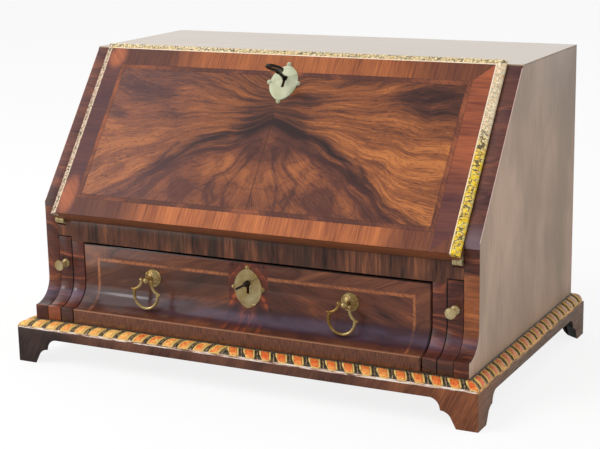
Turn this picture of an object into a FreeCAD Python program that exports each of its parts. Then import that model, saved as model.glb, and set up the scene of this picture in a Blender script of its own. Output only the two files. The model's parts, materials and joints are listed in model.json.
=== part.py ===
import FreeCAD, Part
import math
import os
from FreeCAD import Placement, Rotation, Vector

os.makedirs("parts", exist_ok=True)

# A slant-front letter writing box. Millimetres, X to the right, Y to the back, Z up.
# The origin is at the middle of the box's footprint, on the surface that it stands on.

# Case
CASE_WIDTH = 460.0
CASE_DEPTH = 271.4  # from the back to the plane of the front
CASE_HEIGHT = 263.9  # from the plinth to the surface of the top
TOP_DEPTH = 163.1  # from the back to the front edge of the top
SLOPE_FOOT_HEIGHT = 121.6  # from the plinth to the foot of the slope
BED_HEIGHT = 104.3  # from the plinth to the writing bed
SIDE_THICKNESS = 14.5
TOP_THICKNESS = 12.0
TOP_VENEER = 1.0
BACK_THICKNESS = 8.0
BOTTOM_THICKNESS = 7.0
RAIL_DEPTH = 18.0
RAIL_STEP = 4.3  # the rail is this much deeper over the drawer than over the lopers
PARTITION_THICKNESS = 13.7
CAVETTO_RADIUS = 24.3
FILLET_HEIGHT = 14.1  # from the bottom board to the foot of the cavetto

# Plinth and base moulding
PLINTH_HEIGHT = 35.2
PLINTH_THICKNESS = 12.0
MOULDING_WIDTH = 13.8
MOULDING_HEIGHT = 7.0
MOULDING_LIP = 1.3
MOULDING_SWELL = 1.6
TOE_WIDTH = 20.6
KNEE = (26.2, 10.6)
KNEE_BEND = (29.6, 13.6)
CUSP = (35.4, 15.1)
NECK = (36.2, 18.6)
NECK_BEND = (39.4, 23.6)
SHOULDER = (46.8, 26.0)
UNDERCUT = 8.0  # the bracket's edge slopes back by this much
REAR_BRACKET_LENGTH = 58.0
BATTEN_THICKNESS = 8.6
BATTEN_WIDTH = 26.0
CORNER_BLOCK_SIZE = 9.0
CORNER_BLOCK_HEIGHT = 10.5

# Fall front, measured along the slope from the hinge and outwards from its inner face
FALL_THICKNESS = 17.0
FALL_SIDE_GAP = 0.5
FALL_REST_GAP = 0.3
FALL_CORE_GAP = 0.7
LIP_PAST_TOP = 2.4
HINGE_LIFT = 0.5
HINGE_FORWARD = 1.1
VENEER_THICKNESS = 1.0
CROSSBAND_WIDTH = 18.0
FEATHER_WIDTH = 5.0
FALL_MOULDING_WIDTH = 8.0
FALL_MOULDING_DROP = 4.0
FALL_MOULDING_LIP = 0.7
FALL_MOULDING_SWELL = 0.9
LINING_THICKNESS = 0.8
LINING_MARGIN = 26.0

# Fall hinges
KNUCKLE_RADIUS = 3.6
KNUCKLE_LENGTH = 4.4
KNUCKLE_GAP = 0.4
KNUCKLE_CLEARANCE = 0.4
HINGE_PIN_RADIUS = 1.4
HINGE_PIN_CLEARANCE = 0.05
STRAP_LENGTH = 18.0
STRAP_WIDTH = 6.0
STRAP_THICKNESS = 1.6
LEAF_LENGTH = 14.0
LEAF_THICKNESS = 2.0
NOTCH_DEPTH = 5.0
SCREW_RADIUS = 0.9
SCREW_HEAD_RADIUS = 1.7
SCREW_HEAD_HEIGHT = 0.7
SCREW_LENGTH = 6.5

# Lopers
LOPER_THICKNESS = 15.0
LOPER_SIDE_GAP = 0.4
LOPER_TOP_GAP = 0.8
LOPER_BACK_ROOM = 27.4  # from the loper to the back board
LOPER_TRAVEL = 150.0
RUN_GAP = 0.3  # under a drawer or a loper
PEG_RADIUS = 2.0
PEG_REACH = 4.0
PEG_INSET = 20.0  # from the back end of the loper
PEG_GROOVE_GAP = 0.4
PEG_HEIGHT = 60.0  # above the bottom board

# Drawer
DRAWER_SIDE_GAP = 1.5
DRAWER_TOP_GAP = 1.8
DRAWER_FRONT_THICKNESS = 15.0
DRAWER_BACK_ROOM = 23.4  # from the drawer to the back board
DRAWER_WALL = 7.0
DRAWER_WALL_DROP = 8.0  # from the top of the front to the top of the sides
DRAWER_BOTTOM_THICKNESS = 4.0
DRAWER_BOTTOM_LIFT = 1.5
STOP_WIDTH = 24.0
STOP_HEIGHT = 12.0
STOP_SPREAD = 240.0

# Drop handles on the drawer
HANDLE_SPREAD = 211.0
HANDLE_HEIGHT = 48.8  # above the bottom board
HANDLE_TURN_LEFT = 6.0  # degrees that the post has worked round, clockwise from the front
HANDLE_TURN_RIGHT = 12.0
ROSE_RADIUS = 9.0
ROSE_STEP_RADIUS = 6.2
ROSE_RIM = 1.2
ROSE_RISE = 3.4
POST_REACH = 12.0
POST_RADIUS = 2.0
POST_TAIL = 6.0
POST_CLEARANCE = 0.05
BALL_RADIUS = 3.3
NUT_SIZE = 8.0
NUT_THICKNESS = 3.0
BAIL_WIRE = 1.5
BAIL_BEAD = 2.1
BAIL_BEAD_GAP = 0.35
BAIL_DROP = 28.0
BAIL_LOOP_RADIUS = 13.2
BAIL_LOOP_OPENING = 8.0  # degrees above level at which the loop starts
BAIL_SHOULDER_RADIUS = 10.3
BAIL_SHOULDER_DROP = 1.0
BAIL_HORN_SWEEP = 84.0
PINTLE_RADIUS = 1.0
PINTLE_CLEARANCE = 0.06
PINTLE_DEPTH = 1.3

# Knobs of the lopers
KNOB_HEIGHT = 53.3  # above the bottom board
KNOB_REACH = 13.2
KNOB_RADIUS = 5.4
KNOB_DISC = 2.2
KNOB_NECK = 2.1
KNOB_FOOT = 4.3
KNOB_FOOT_HEIGHT = 1.2
KNOB_TAIL_RADIUS = 1.6
KNOB_TAIL = 9.0

# Escutcheons, locks and keys
PLATE_HALF_WIDTH = 14.6
PLATE_HALF_HEIGHT = 19.4
PLATE_THICKNESS = 1.2
PLATE_BEVEL = 0.4
PLATE_DROP = 18.8  # from the top edge of the fall's core to the middle of its plate
PLATE_HEIGHT = 50.3  # above the bottom board
LUG_RADIUS = 2.2
LUG_OUTSET = 0.8
STUD_RADIUS = 1.9
STUD_RISE = 1.5
STUD_SHANK_RADIUS = 0.7
STUD_SHANK = 3.5
KEYHOLE_RISE = 4.8  # of the key's centre above the plate's centre
KEYHOLE_RADIUS = 2.9
KEYHOLE_SLOT = 3.0
KEYHOLE_LENGTH = 10.0
LOCK_WIDTH = 42.0
LOCK_HEIGHT = 37.0
LOCK_DEPTH = 11.0
LOCK_WALL = 1.0
BOLT_WIDTH = 14.0
BOLT_THICKNESS = 2.8
BOLT_LEVEL = 2.6
BOLT_LENGTH = 24.0
BOLT_INSET = 0.2
BOLT_CLEARANCE = 0.4
FALL_BOLT_THROW = 8.0
DRAWER_BOLT_THROW = 4.8
KEEP_WIDTH = 26.0
KEEP_RIM = 1.3
KEEP_THICKNESS = 1.0
KEY_RADIUS = 1.8
KEY_TIP_GAP = 0.5
KEY_COLLAR_RADIUS = 2.6
KEY_COLLAR_LENGTH = 1.6
BIT_LENGTH = 6.4
BIT_WIDTH = 2.6
BIT_THICKNESS = 2.0
BIT_INSET = 0.4
BOW_THICKNESS = 2.2
BOW_RIM = 3.0
BOW_EDGE = 0.5
FALL_KEY_REACH = 23.5  # from the plate to the middle of the bow
FALL_BOW_HALF_WIDTH = 9.3
FALL_BOW_HALF_LENGTH = 7.0
FALL_KEY_TURN = -6.0
FALL_KEY_DROOP = 6.0
DRAWER_KEY_REACH = 10.6
DRAWER_BOW_HALF_WIDTH = 7.4
DRAWER_BOW_HALF_LENGTH = 6.0
DRAWER_KEY_TURN = 29.0

# Nest of pigeonholes and inner drawers
NEST_SETBACK = 11.1  # from the front edge of the top
NEST_BOARD = 4.0
INNER_DRAWER_OPENING = 28.0
PIGEONHOLES = 5
VALANCE_DEPTH = 16.0
VALANCE_THICKNESS = 3.0
VALANCE_ARCH = 9.0
INNER_GAP = 0.4
INNER_FRONT_THICKNESS = 6.0
INNER_WALL = 4.0
INNER_BOTTOM = 3.0
INNER_BACK_ROOM = 14.0
INNER_KNOB_RADIUS = 3.6
INNER_KNOB_REACH = 8.5
INNER_KNOB_NECK = 1.5
INNER_KNOB_TAIL = 3.0

# Places worked out from the sizes
HALF_WIDTH = CASE_WIDTH / 2
INNER_X = HALF_WIDTH - SIDE_THICKNESS
PLINTH_X = HALF_WIDTH + MOULDING_WIDTH
BACK_Y = (CASE_DEPTH + CAVETTO_RADIUS + MOULDING_WIDTH) / 2
FRONT_Y = BACK_Y - CASE_DEPTH
FILLET_Y = FRONT_Y - CAVETTO_RADIUS
PLINTH_FRONT_Y = FILLET_Y - MOULDING_WIDTH
TOP_FRONT_Y = BACK_Y - TOP_DEPTH
BACK_INNER_Y = BACK_Y - BACK_THICKNESS
RAIL_BACK_Y = FRONT_Y + RAIL_DEPTH
CASE_TOP = PLINTH_HEIGHT + CASE_HEIGHT
TOP_BOARD_TOP = CASE_TOP - TOP_VENEER
TOP_UNDERSIDE = TOP_BOARD_TOP - TOP_THICKNESS
SLOPE_FOOT = PLINTH_HEIGHT + SLOPE_FOOT_HEIGHT
BED_TOP = PLINTH_HEIGHT + BED_HEIGHT
BOTTOM_TOP = PLINTH_HEIGHT + BOTTOM_THICKNESS
FILLET_TOP = BOTTOM_TOP + FILLET_HEIGHT
CAVETTO_TOP = FILLET_TOP + CAVETTO_RADIUS
RUN_Z = BOTTOM_TOP + RUN_GAP
HINGE_Y = FRONT_Y - HINGE_FORWARD
HINGE_Z = BED_TOP + HINGE_LIFT
LOPER_TOP = HINGE_Z - FALL_THICKNESS - FALL_REST_GAP
SLOT_TOP = LOPER_TOP + LOPER_TOP_GAP
DRAWER_OPENING_TOP = SLOT_TOP - RAIL_STEP
LOPER_X = INNER_X - LOPER_SIDE_GAP - LOPER_THICKNESS / 2
SLOT_X = LOPER_X - LOPER_THICKNESS / 2 - LOPER_SIDE_GAP
PARTITION_X = SLOT_X - PARTITION_THICKNESS
DRAWER_X = PARTITION_X - DRAWER_SIDE_GAP
DRAWER_TOP = DRAWER_OPENING_TOP - DRAWER_TOP_GAP
DRAWER_BACK_FACE_Y = FRONT_Y + DRAWER_FRONT_THICKNESS
DRAWER_END_Y = BACK_INNER_Y - DRAWER_BACK_ROOM
LOPER_END_Y = BACK_INNER_Y - LOPER_BACK_ROOM
NEST_FRONT_Y = TOP_FRONT_Y + NEST_SETBACK
INNER_END_Y = BACK_INNER_Y - INNER_BACK_ROOM
SHELF_Z = BED_TOP + INNER_DRAWER_OPENING
CUT = 2.0  # how far a cutter runs past the face it opens

SLOPE = math.atan2(CASE_TOP - SLOPE_FOOT, CASE_DEPTH - TOP_DEPTH)


def slope_y(z):
    """Y of the sloping front edge of the case at a height."""
    return FRONT_Y + (z - SLOPE_FOOT) / math.tan(SLOPE)


def along_slope(y, z):
    """Distance up the slope from the hinge of a point in the case."""
    return (y - HINGE_Y) * math.cos(SLOPE) + (z - HINGE_Z) * math.sin(SLOPE)


def above_slope(y, z):
    """Distance out from the fall's inner face of a point in the case."""
    return (z - HINGE_Z) * math.cos(SLOPE) - (y - HINGE_Y) * math.sin(SLOPE)


FALL_X = INNER_X - FALL_SIDE_GAP
FALL_BACK = FALL_THICKNESS - VENEER_THICKNESS
FALL_TOP = along_slope(TOP_FRONT_Y, CASE_TOP) + LIP_PAST_TOP
FIELD_EDGE_X = FALL_X - FALL_MOULDING_WIDTH
FIELD_TOP = FALL_TOP - FALL_MOULDING_WIDTH
CORE_TOP = along_slope(slope_y(TOP_UNDERSIDE), TOP_UNDERSIDE) - FALL_CORE_GAP
LIP_UNDERSIDE = above_slope(FRONT_Y, SLOPE_FOOT) + FALL_REST_GAP
PLATE_SLOPE_PLACE = CORE_TOP - PLATE_DROP
KEY_TIP = BOLT_LEVEL + BOLT_THICKNESS + KEY_TIP_GAP

FALL_FRAME = Placement(Vector(0, HINGE_Y, HINGE_Z), Rotation(Vector(1, 0, 0), math.degrees(SLOPE)))
FALL_PLATE_FRAME = FALL_FRAME.multiply(Placement(Vector(0, PLATE_SLOPE_PLACE, FALL_THICKNESS), Rotation()))
FALL_LOCK_FRAME = FALL_FRAME.multiply(Placement(Vector(0, CORE_TOP, 0), Rotation()))
FACING = Rotation(Vector(1, 0, 0), 90)
PLATE_Z = BOTTOM_TOP + PLATE_HEIGHT
DRAWER_PLATE_FRAME = Placement(Vector(0, FRONT_Y, PLATE_Z), FACING)
DRAWER_LOCK_FRAME = Placement(Vector(0, DRAWER_BACK_FACE_Y, DRAWER_TOP), FACING)


def save(name, *solids):
    """Write one node, as one solid or as a group of separate ones."""
    shape = solids[0] if len(solids) == 1 else Part.makeCompound(list(solids))
    shape.exportStep("parts/" + name + ".step")


def box(low, high):
    """Box between two corners."""
    return Part.makeBox(high[0] - low[0], high[1] - low[1], high[2] - low[2], Vector(*low))


def rod(radius, start, direction, length):
    """Cylinder from a point along a direction."""
    return Part.makeCylinder(radius, length, Vector(*start), Vector(*direction))


def flat(start, steps):
    """Face inside an outline. A step is a point to run straight to, or a pair (through, end) for an arc."""
    edges = []
    here = start
    for step in steps:
        if isinstance(step, tuple):
            through, end = step
            edges.append(Part.Arc(here, through, end).toShape())
        else:
            end = step
            edges.append(Part.makeLine(here, end))
        here = end
    edges.append(Part.makeLine(here, start))
    return Part.Face(Part.Wire(edges))


def mirrored(shape):
    """The same shape on the other side of the box."""
    return shape.mirror(Vector(0, 0, 0), Vector(1, 0, 0))


def placed(shape, frame):
    """The shape carried into a frame."""
    moved = shape.copy()
    moved.Placement = frame.multiply(moved.Placement)
    return moved


def across(face, x_low, x_high):
    """Solid from a face in the YZ plane, between two X places."""
    moved = face.copy()
    moved.translate(Vector(x_low, 0, 0))
    return moved.extrude(Vector(x_high - x_low, 0, 0))


def plan(points, z_low, z_high):
    """Upright solid on a plan outline."""
    corners = [Vector(x, y, z_low) for x, y in points]
    return flat(corners[0], corners[1:]).extrude(Vector(0, 0, z_high - z_low))


def yz(y, z):
    """Point in the YZ plane."""
    return Vector(0, y, z)


def front_steps(bottom_z):
    """The front's outline, from the top of the cavetto to the foot of the fillet."""
    reach = CAVETTO_RADIUS * math.sqrt(0.5)
    middle = yz(FILLET_Y + reach, CAVETTO_TOP - reach)
    return [yz(FRONT_Y, CAVETTO_TOP), (middle, yz(FILLET_Y, FILLET_TOP)), yz(FILLET_Y, bottom_z)]


def screw(head, direction):
    """Flat-headed screw whose head lies flush at a point, and points along a direction."""
    shank = rod(SCREW_RADIUS, head, direction, SCREW_LENGTH)
    return rod(SCREW_HEAD_RADIUS, head, direction, SCREW_HEAD_HEIGHT).fuse(shank).removeSplitter()


# Case

def side_board():
    """Right side board, with its slope and cavetto."""
    steps = front_steps(PLINTH_HEIGHT)
    steps += [yz(BACK_Y, PLINTH_HEIGHT), yz(BACK_Y, TOP_BOARD_TOP), yz(slope_y(TOP_BOARD_TOP), TOP_BOARD_TOP)]
    return across(flat(yz(FRONT_Y, SLOPE_FOOT), steps), INNER_X, HALF_WIDTH)


def bevelled_top(z_low, z_high, half_width):
    """A board under the top's surface, with its front edge on the slope."""
    steps = [yz(BACK_Y, z_low), yz(BACK_Y, z_high), yz(slope_y(z_high), z_high)]
    return across(flat(yz(slope_y(z_low), z_low), steps), -half_width, half_width)


def fall_bolt_way():
    """Room for the fall's bolt where it enters the top board."""
    return placed(bolt_way(FALL_BOLT_THROW), FALL_LOCK_FRAME)


def drawer_bolt_way():
    """Room for the drawer's bolt where it enters the rail."""
    return placed(bolt_way(DRAWER_BOLT_THROW), DRAWER_LOCK_FRAME)


def top_board():
    """Top board between the sides, with the keep's recess and the bolt's mortise."""
    board = bevelled_top(TOP_UNDERSIDE, TOP_BOARD_TOP, INNER_X)
    return board.cut(fall_keep_blank()).cut(fall_bolt_way())


def fall_keep_blank():
    """The fall lock's keep before its slot is cut, flush with the underside of the top."""
    depth = LIP_UNDERSIDE - FALL_REST_GAP - BOLT_LEVEL - BOLT_THICKNESS / 2
    half = BOLT_THICKNESS / 2 + BOLT_CLEARANCE
    edge_y = slope_y(TOP_UNDERSIDE)
    lean = KEEP_THICKNESS / math.tan(SLOPE)
    low_y = edge_y + (depth - half) / math.sin(SLOPE) - KEEP_RIM
    high_y = edge_y + (depth + half) / math.sin(SLOPE) + lean + KEEP_RIM
    low = (-KEEP_WIDTH / 2, low_y, TOP_UNDERSIDE)
    return box(low, (KEEP_WIDTH / 2, high_y, TOP_UNDERSIDE + KEEP_THICKNESS))


def drawer_keep_blank():
    """The drawer lock's keep before its slot is cut, flush with the underside of the rail."""
    middle_y = DRAWER_BACK_FACE_Y - BOLT_LEVEL - BOLT_THICKNESS / 2
    half = BOLT_THICKNESS / 2 + BOLT_CLEARANCE + KEEP_RIM
    low = (-KEEP_WIDTH / 2, middle_y - half, DRAWER_OPENING_TOP)
    return box(low, (KEEP_WIDTH / 2, middle_y + half, DRAWER_OPENING_TOP + KEEP_THICKNESS))


def back_board():
    """Back board between the sides, under the top."""
    return box((-INNER_X, BACK_INNER_Y, PLINTH_HEIGHT), (INNER_X, BACK_Y, TOP_UNDERSIDE))


def bottom_board():
    """Bottom board between the sides."""
    return box((-INNER_X, FILLET_Y, PLINTH_HEIGHT), (INNER_X, BACK_INNER_Y, BOTTOM_TOP))


def writing_bed():
    """Board behind the rail that roofs the drawer and floors the desk."""
    return box((-INNER_X, RAIL_BACK_Y, SLOT_TOP), (INNER_X, BACK_INNER_Y, BED_TOP))


def front_rail_blank():
    """Rail over the drawer, cut up over the lopers."""
    rail = box((-SLOT_X, FRONT_Y, DRAWER_OPENING_TOP), (SLOT_X, RAIL_BACK_Y, BED_TOP))
    return rail.fuse(box((-INNER_X, FRONT_Y, SLOT_TOP), (INNER_X, RAIL_BACK_Y, BED_TOP))).removeSplitter()


def hinge_room():
    """Notch in the right end of the rail for the knuckles and the leaf."""
    inner = hinge_inner_x() - KNUCKLE_CLEARANCE
    back = HINGE_Y + KNUCKLE_RADIUS + KNUCKLE_CLEARANCE
    knuckles = box((inner, FRONT_Y - CUT, BED_TOP - NOTCH_DEPTH), (INNER_X, back, BED_TOP + CUT))
    leaf = box((inner, back, BED_TOP - LEAF_THICKNESS), (INNER_X, back + LEAF_LENGTH, BED_TOP + CUT))
    return knuckles.fuse(leaf)


def front_rail():
    """Rail with the hinge notches, the screw holes and the drawer bolt's mortise."""
    rail = front_rail_blank().cut(drawer_keep_blank()).cut(drawer_bolt_way())
    cutters = [hinge_room()] + leaf_screws()
    for cutter in cutters:
        rail = rail.cut(cutter).cut(mirrored(cutter))
    return rail


def partition():
    """Right partition between the drawer and the loper, with the groove of the loper's stop peg."""
    steps = front_steps(BOTTOM_TOP)
    steps += [yz(BACK_INNER_Y, BOTTOM_TOP), yz(BACK_INNER_Y, SLOT_TOP), yz(RAIL_BACK_Y, SLOT_TOP)]
    steps += [yz(RAIL_BACK_Y, DRAWER_OPENING_TOP)]
    board = across(flat(yz(FRONT_Y, DRAWER_OPENING_TOP), steps), PARTITION_X, SLOT_X)
    peg_y = LOPER_END_Y - PEG_INSET
    room = PEG_RADIUS + PEG_GROOVE_GAP
    low = (SLOT_X - PEG_REACH, peg_y - LOPER_TRAVEL - room, BOTTOM_TOP + PEG_HEIGHT - room)
    return board.cut(box(low, (SLOT_X + CUT, peg_y + room, BOTTOM_TOP + PEG_HEIGHT + room)))


def loper():
    """Right loper with its stop peg."""
    steps = front_steps(RUN_Z) + [yz(LOPER_END_Y, RUN_Z), yz(LOPER_END_Y, LOPER_TOP)]
    face = flat(yz(FRONT_Y, LOPER_TOP), steps)
    inner = LOPER_X - LOPER_THICKNESS / 2
    board = across(face, inner, inner + LOPER_THICKNESS)
    board = board.cut(rod(KNOB_TAIL_RADIUS, knob_place(), (0, 1, 0), KNOB_TAIL))
    peg_start = (LOPER_X, LOPER_END_Y - PEG_INSET, BOTTOM_TOP + PEG_HEIGHT)
    peg = rod(PEG_RADIUS, peg_start, (-1, 0, 0), LOPER_X - SLOT_X + PEG_REACH - PEG_GROOVE_GAP)
    return board.cut(peg), peg


def drawer_stops():
    """Blocks on the bottom board that stop the closed drawer."""
    stops = []
    for x in (-STOP_SPREAD / 2, STOP_SPREAD / 2):
        low = (x - STOP_WIDTH / 2, DRAWER_END_Y + RUN_GAP, BOTTOM_TOP)
        stops.append(box(low, (x + STOP_WIDTH / 2, BACK_INNER_Y, BOTTOM_TOP + STOP_HEIGHT)))
    return stops


# Plinth and base moulding

def bracket_outline(span, depth, spread):
    """Outline of the opening between two bracket feet, in the plane at a depth, opened by a spread."""
    arcs = {KNEE: KNEE_BEND, NECK: NECK_BEND}
    corners = [(TOE_WIDTH, -CUT), KNEE, CUSP, NECK, SHOULDER]
    slant = (KNEE[0] - TOE_WIDTH) / KNEE[1]
    corners[0] = (TOE_WIDTH - CUT * slant, -CUT)

    def left(corner):
        return Vector(corner[0] - spread, depth, corner[1])

    def right(corner):
        return Vector(span - corner[0] + spread, depth, corner[1])

    edges = [Part.makeLine(right(corners[0]), left(corners[0]))]
    for low, high in zip(corners, corners[1:]):
        if low in arcs:
            edges.append(Part.Arc(left(low), left(arcs[low]), left(high)).toShape())
        else:
            edges.append(Part.makeLine(left(low), left(high)))
    edges.append(Part.makeLine(left(SHOULDER), right(SHOULDER)))
    for low, high in zip(reversed(corners[:-1]), reversed(corners[1:])):
        if low in arcs:
            edges.append(Part.Arc(right(high), right(arcs[low]), right(low)).toShape())
        else:
            edges.append(Part.makeLine(right(high), right(low)))
    return Part.Wire(edges)


def bracket_board(span):
    """Plinth board along +X with bracket feet, its shown face on y = 0 and its edges undercut."""
    board = box((0, 0, 0), (span, PLINTH_THICKNESS, PLINTH_HEIGHT))
    grade = UNDERCUT / PLINTH_THICKNESS
    before = bracket_outline(span, -CUT, -CUT * grade)
    behind = bracket_outline(span, PLINTH_THICKNESS + CUT, (PLINTH_THICKNESS + CUT) * grade)
    return board.cut(Part.makeLoft([before, behind], True, True))


def front_plan(inset):
    """Mitred plan of what runs along the front, as wide as the inset."""
    outer, inner = PLINTH_FRONT_Y, PLINTH_FRONT_Y + inset
    return [(-PLINTH_X, outer), (PLINTH_X, outer), (PLINTH_X - inset, inner), (-PLINTH_X + inset, inner)]


def side_plan(inset):
    """Mitred plan of what runs along the right side, as wide as the inset."""
    inner = PLINTH_X - inset
    return [(PLINTH_X, PLINTH_FRONT_Y), (PLINTH_X, BACK_Y), (inner, BACK_Y), (inner, PLINTH_FRONT_Y + inset)]


def plinth_front():
    """Front board of the plinth."""
    board = placed(bracket_board(2 * PLINTH_X), Placement(Vector(-PLINTH_X, PLINTH_FRONT_Y, 0), Rotation()))
    return board.common(plan(front_plan(PLINTH_THICKNESS), 0, PLINTH_HEIGHT))


def plinth_side():
    """Right board of the plinth."""
    turn = Placement(Vector(PLINTH_X, PLINTH_FRONT_Y, 0), Rotation(Vector(0, 0, 1), 90))
    board = placed(bracket_board(BACK_Y - PLINTH_FRONT_Y), turn)
    return board.common(plan(side_plan(PLINTH_THICKNESS), 0, PLINTH_HEIGHT))


def rear_brackets():
    """Bracket feet across the back, between the plinth's side boards."""
    turn = Placement(Vector(PLINTH_X, BACK_Y, 0), Rotation(Vector(0, 0, 1), 180))
    board = placed(bracket_board(2 * PLINTH_X), turn)
    inner = PLINTH_X - PLINTH_THICKNESS
    low = (inner - REAR_BRACKET_LENGTH, BACK_Y - PLINTH_THICKNESS, 0)
    right = board.common(box(low, (inner, BACK_Y, PLINTH_HEIGHT - BATTEN_THICKNESS)))
    return right, mirrored(right)


def plinth_battens():
    """Battens behind the plinth boards that carry the case."""
    side = PLINTH_X - PLINTH_THICKNESS
    front = PLINTH_FRONT_Y + PLINTH_THICKNESS
    low, high = PLINTH_HEIGHT - BATTEN_THICKNESS, PLINTH_HEIGHT
    ends = [box((-side, front, low), (side, front + BATTEN_WIDTH, high))]
    ends.append(box((-side, BACK_Y - BATTEN_WIDTH, low), (side, BACK_Y, high)))
    right = box((side - BATTEN_WIDTH, front + BATTEN_WIDTH, low), (side, BACK_Y - BATTEN_WIDTH, high))
    return ends + [right, mirrored(right)]


def corner_blocks():
    """Three-cornered blocks inside the plinth's corners, under the battens."""
    side = PLINTH_X - PLINTH_THICKNESS
    high = PLINTH_HEIGHT - BATTEN_THICKNESS
    low = high - CORNER_BLOCK_HEIGHT
    blocks = []
    for y, inward in ((PLINTH_FRONT_Y + PLINTH_THICKNESS, 1), (BACK_Y - PLINTH_THICKNESS, -1)):
        corner = [(side, y), (side, y + inward * CORNER_BLOCK_SIZE), (side - CORNER_BLOCK_SIZE, y)]
        block = plan(corner, low, high)
        blocks += [block, mirrored(block)]
    return blocks


def base_section():
    """Section of the base moulding from the case outwards, with X as the outward direction."""
    lip = Vector(MOULDING_WIDTH, 0, MOULDING_LIP)
    top = Vector(MOULDING_LIP, 0, MOULDING_HEIGHT)
    middle = (lip + top) * 0.5 + Vector(MOULDING_SWELL, 0, MOULDING_SWELL)
    foot, back = Vector(MOULDING_WIDTH, 0, 0), Vector(0, 0, MOULDING_HEIGHT)
    return flat(Vector(0, 0, 0), [foot, lip, (middle, top), back])


def base_moulding_front():
    """Base moulding along the front, mitred at both ends."""
    turn = Placement(Vector(-PLINTH_X, FILLET_Y, PLINTH_HEIGHT), Rotation(Vector(0, 0, 1), -90))
    strip = placed(base_section(), turn).extrude(Vector(2 * PLINTH_X, 0, 0))
    return strip.common(plan(front_plan(MOULDING_WIDTH), PLINTH_HEIGHT, CASE_TOP))


def base_moulding_side():
    """Base moulding along the right side."""
    section = placed(base_section(), Placement(Vector(HALF_WIDTH, PLINTH_FRONT_Y, PLINTH_HEIGHT), Rotation()))
    strip = section.extrude(Vector(0, BACK_Y - PLINTH_FRONT_Y, 0))
    return strip.common(plan(side_plan(MOULDING_WIDTH), PLINTH_HEIGHT, CASE_TOP))


# Hinges of the fall

def hinge_inner_x():
    """Inner end of the right hinge's knuckles."""
    return FALL_X - 2 * KNUCKLE_LENGTH - KNUCKLE_GAP


def hinge_bore():
    """Bore of both knuckles of the right hinge."""
    start = (hinge_inner_x() - CUT, HINGE_Y, HINGE_Z)
    return rod(HINGE_PIN_RADIUS + HINGE_PIN_CLEARANCE, start, (1, 0, 0), 2 * CUT + INNER_X - hinge_inner_x())


def hinge_pin():
    """Pin of the right hinge."""
    start = (hinge_inner_x(), HINGE_Y, HINGE_Z)
    return rod(HINGE_PIN_RADIUS, start, (1, 0, 0), 2 * KNUCKLE_LENGTH + KNUCKLE_GAP)


def leaf_screws():
    """Screws of the right hinge's leaf on the rail."""
    first = HINGE_Y + KNUCKLE_RADIUS + KNUCKLE_CLEARANCE + LEAF_LENGTH / 4
    x = hinge_inner_x() + KNUCKLE_LENGTH
    return [screw((x, y, BED_TOP), (0, 0, -1)) for y in (first, first + LEAF_LENGTH / 2)]


def case_leaf():
    """The right hinge's leaf, let into the rail, with its knuckle."""
    inner = hinge_inner_x()
    back = HINGE_Y + KNUCKLE_RADIUS + KNUCKLE_CLEARANCE
    plate = box((inner, back, BED_TOP - LEAF_THICKNESS), (FALL_X, back + LEAF_LENGTH, BED_TOP))
    neck = box((inner, HINGE_Y, BED_TOP - LEAF_THICKNESS), (inner + KNUCKLE_LENGTH, back, BED_TOP))
    knuckle = rod(KNUCKLE_RADIUS, (inner, HINGE_Y, HINGE_Z), (1, 0, 0), KNUCKLE_LENGTH)
    leaf = plate.fuse(neck).fuse(knuckle).removeSplitter().cut(hinge_bore())
    for one in leaf_screws():
        leaf = leaf.cut(one)
    return leaf


def strap_screws():
    """Screws of the right hinge's strap, in the fall's own frame."""
    places = (STRAP_LENGTH * 0.45, STRAP_LENGTH * 0.8)
    return [screw((FALL_X, s, STRAP_WIDTH / 2), (-1, 0, 0)) for s in places]


def fall_strap():
    """The right hinge's strap on the fall's end, with its knuckle, in the fall's own frame."""
    strap = box((FALL_X - STRAP_THICKNESS, 0, 0), (FALL_X, STRAP_LENGTH, STRAP_WIDTH))
    knuckle = rod(KNUCKLE_RADIUS, (FALL_X - KNUCKLE_LENGTH, 0, 0), (1, 0, 0), KNUCKLE_LENGTH)
    bore = rod(HINGE_PIN_RADIUS + HINGE_PIN_CLEARANCE, (hinge_inner_x() - CUT, 0, 0), (1, 0, 0), INNER_X)
    hinge = strap.fuse(knuckle).removeSplitter().cut(bore)
    for one in strap_screws():
        hinge = hinge.cut(one)
    return hinge


# Locks, escutcheons and keys, in a frame with X across, Y towards the bolt's way out and Z outwards

def keyhole(z_low, z_high):
    """Cutter for a keyhole whose round part is on the Z axis."""
    round_part = rod(KEYHOLE_RADIUS, (0, 0, z_low), (0, 0, 1), z_high - z_low)
    slot = box((-KEYHOLE_SLOT / 2, -KEYHOLE_LENGTH, z_low), (KEYHOLE_SLOT / 2, 0, z_high))
    return round_part.fuse(slot)


def bolt():
    """A lock's bolt, drawn back."""
    low = (-BOLT_WIDTH / 2, -BOLT_INSET - BOLT_LENGTH, BOLT_LEVEL)
    return box(low, (BOLT_WIDTH / 2, -BOLT_INSET, BOLT_LEVEL + BOLT_THICKNESS))


def bolt_way(throw):
    """Room for a bolt that is thrown beyond its lock, in the lock's frame."""
    half = BOLT_WIDTH / 2 + BOLT_CLEARANCE
    high = BOLT_LEVEL + BOLT_THICKNESS + BOLT_CLEARANCE
    return box((-half, -LOCK_WALL - CUT, BOLT_LEVEL - BOLT_CLEARANCE), (half, throw + CUT, high))


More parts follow.
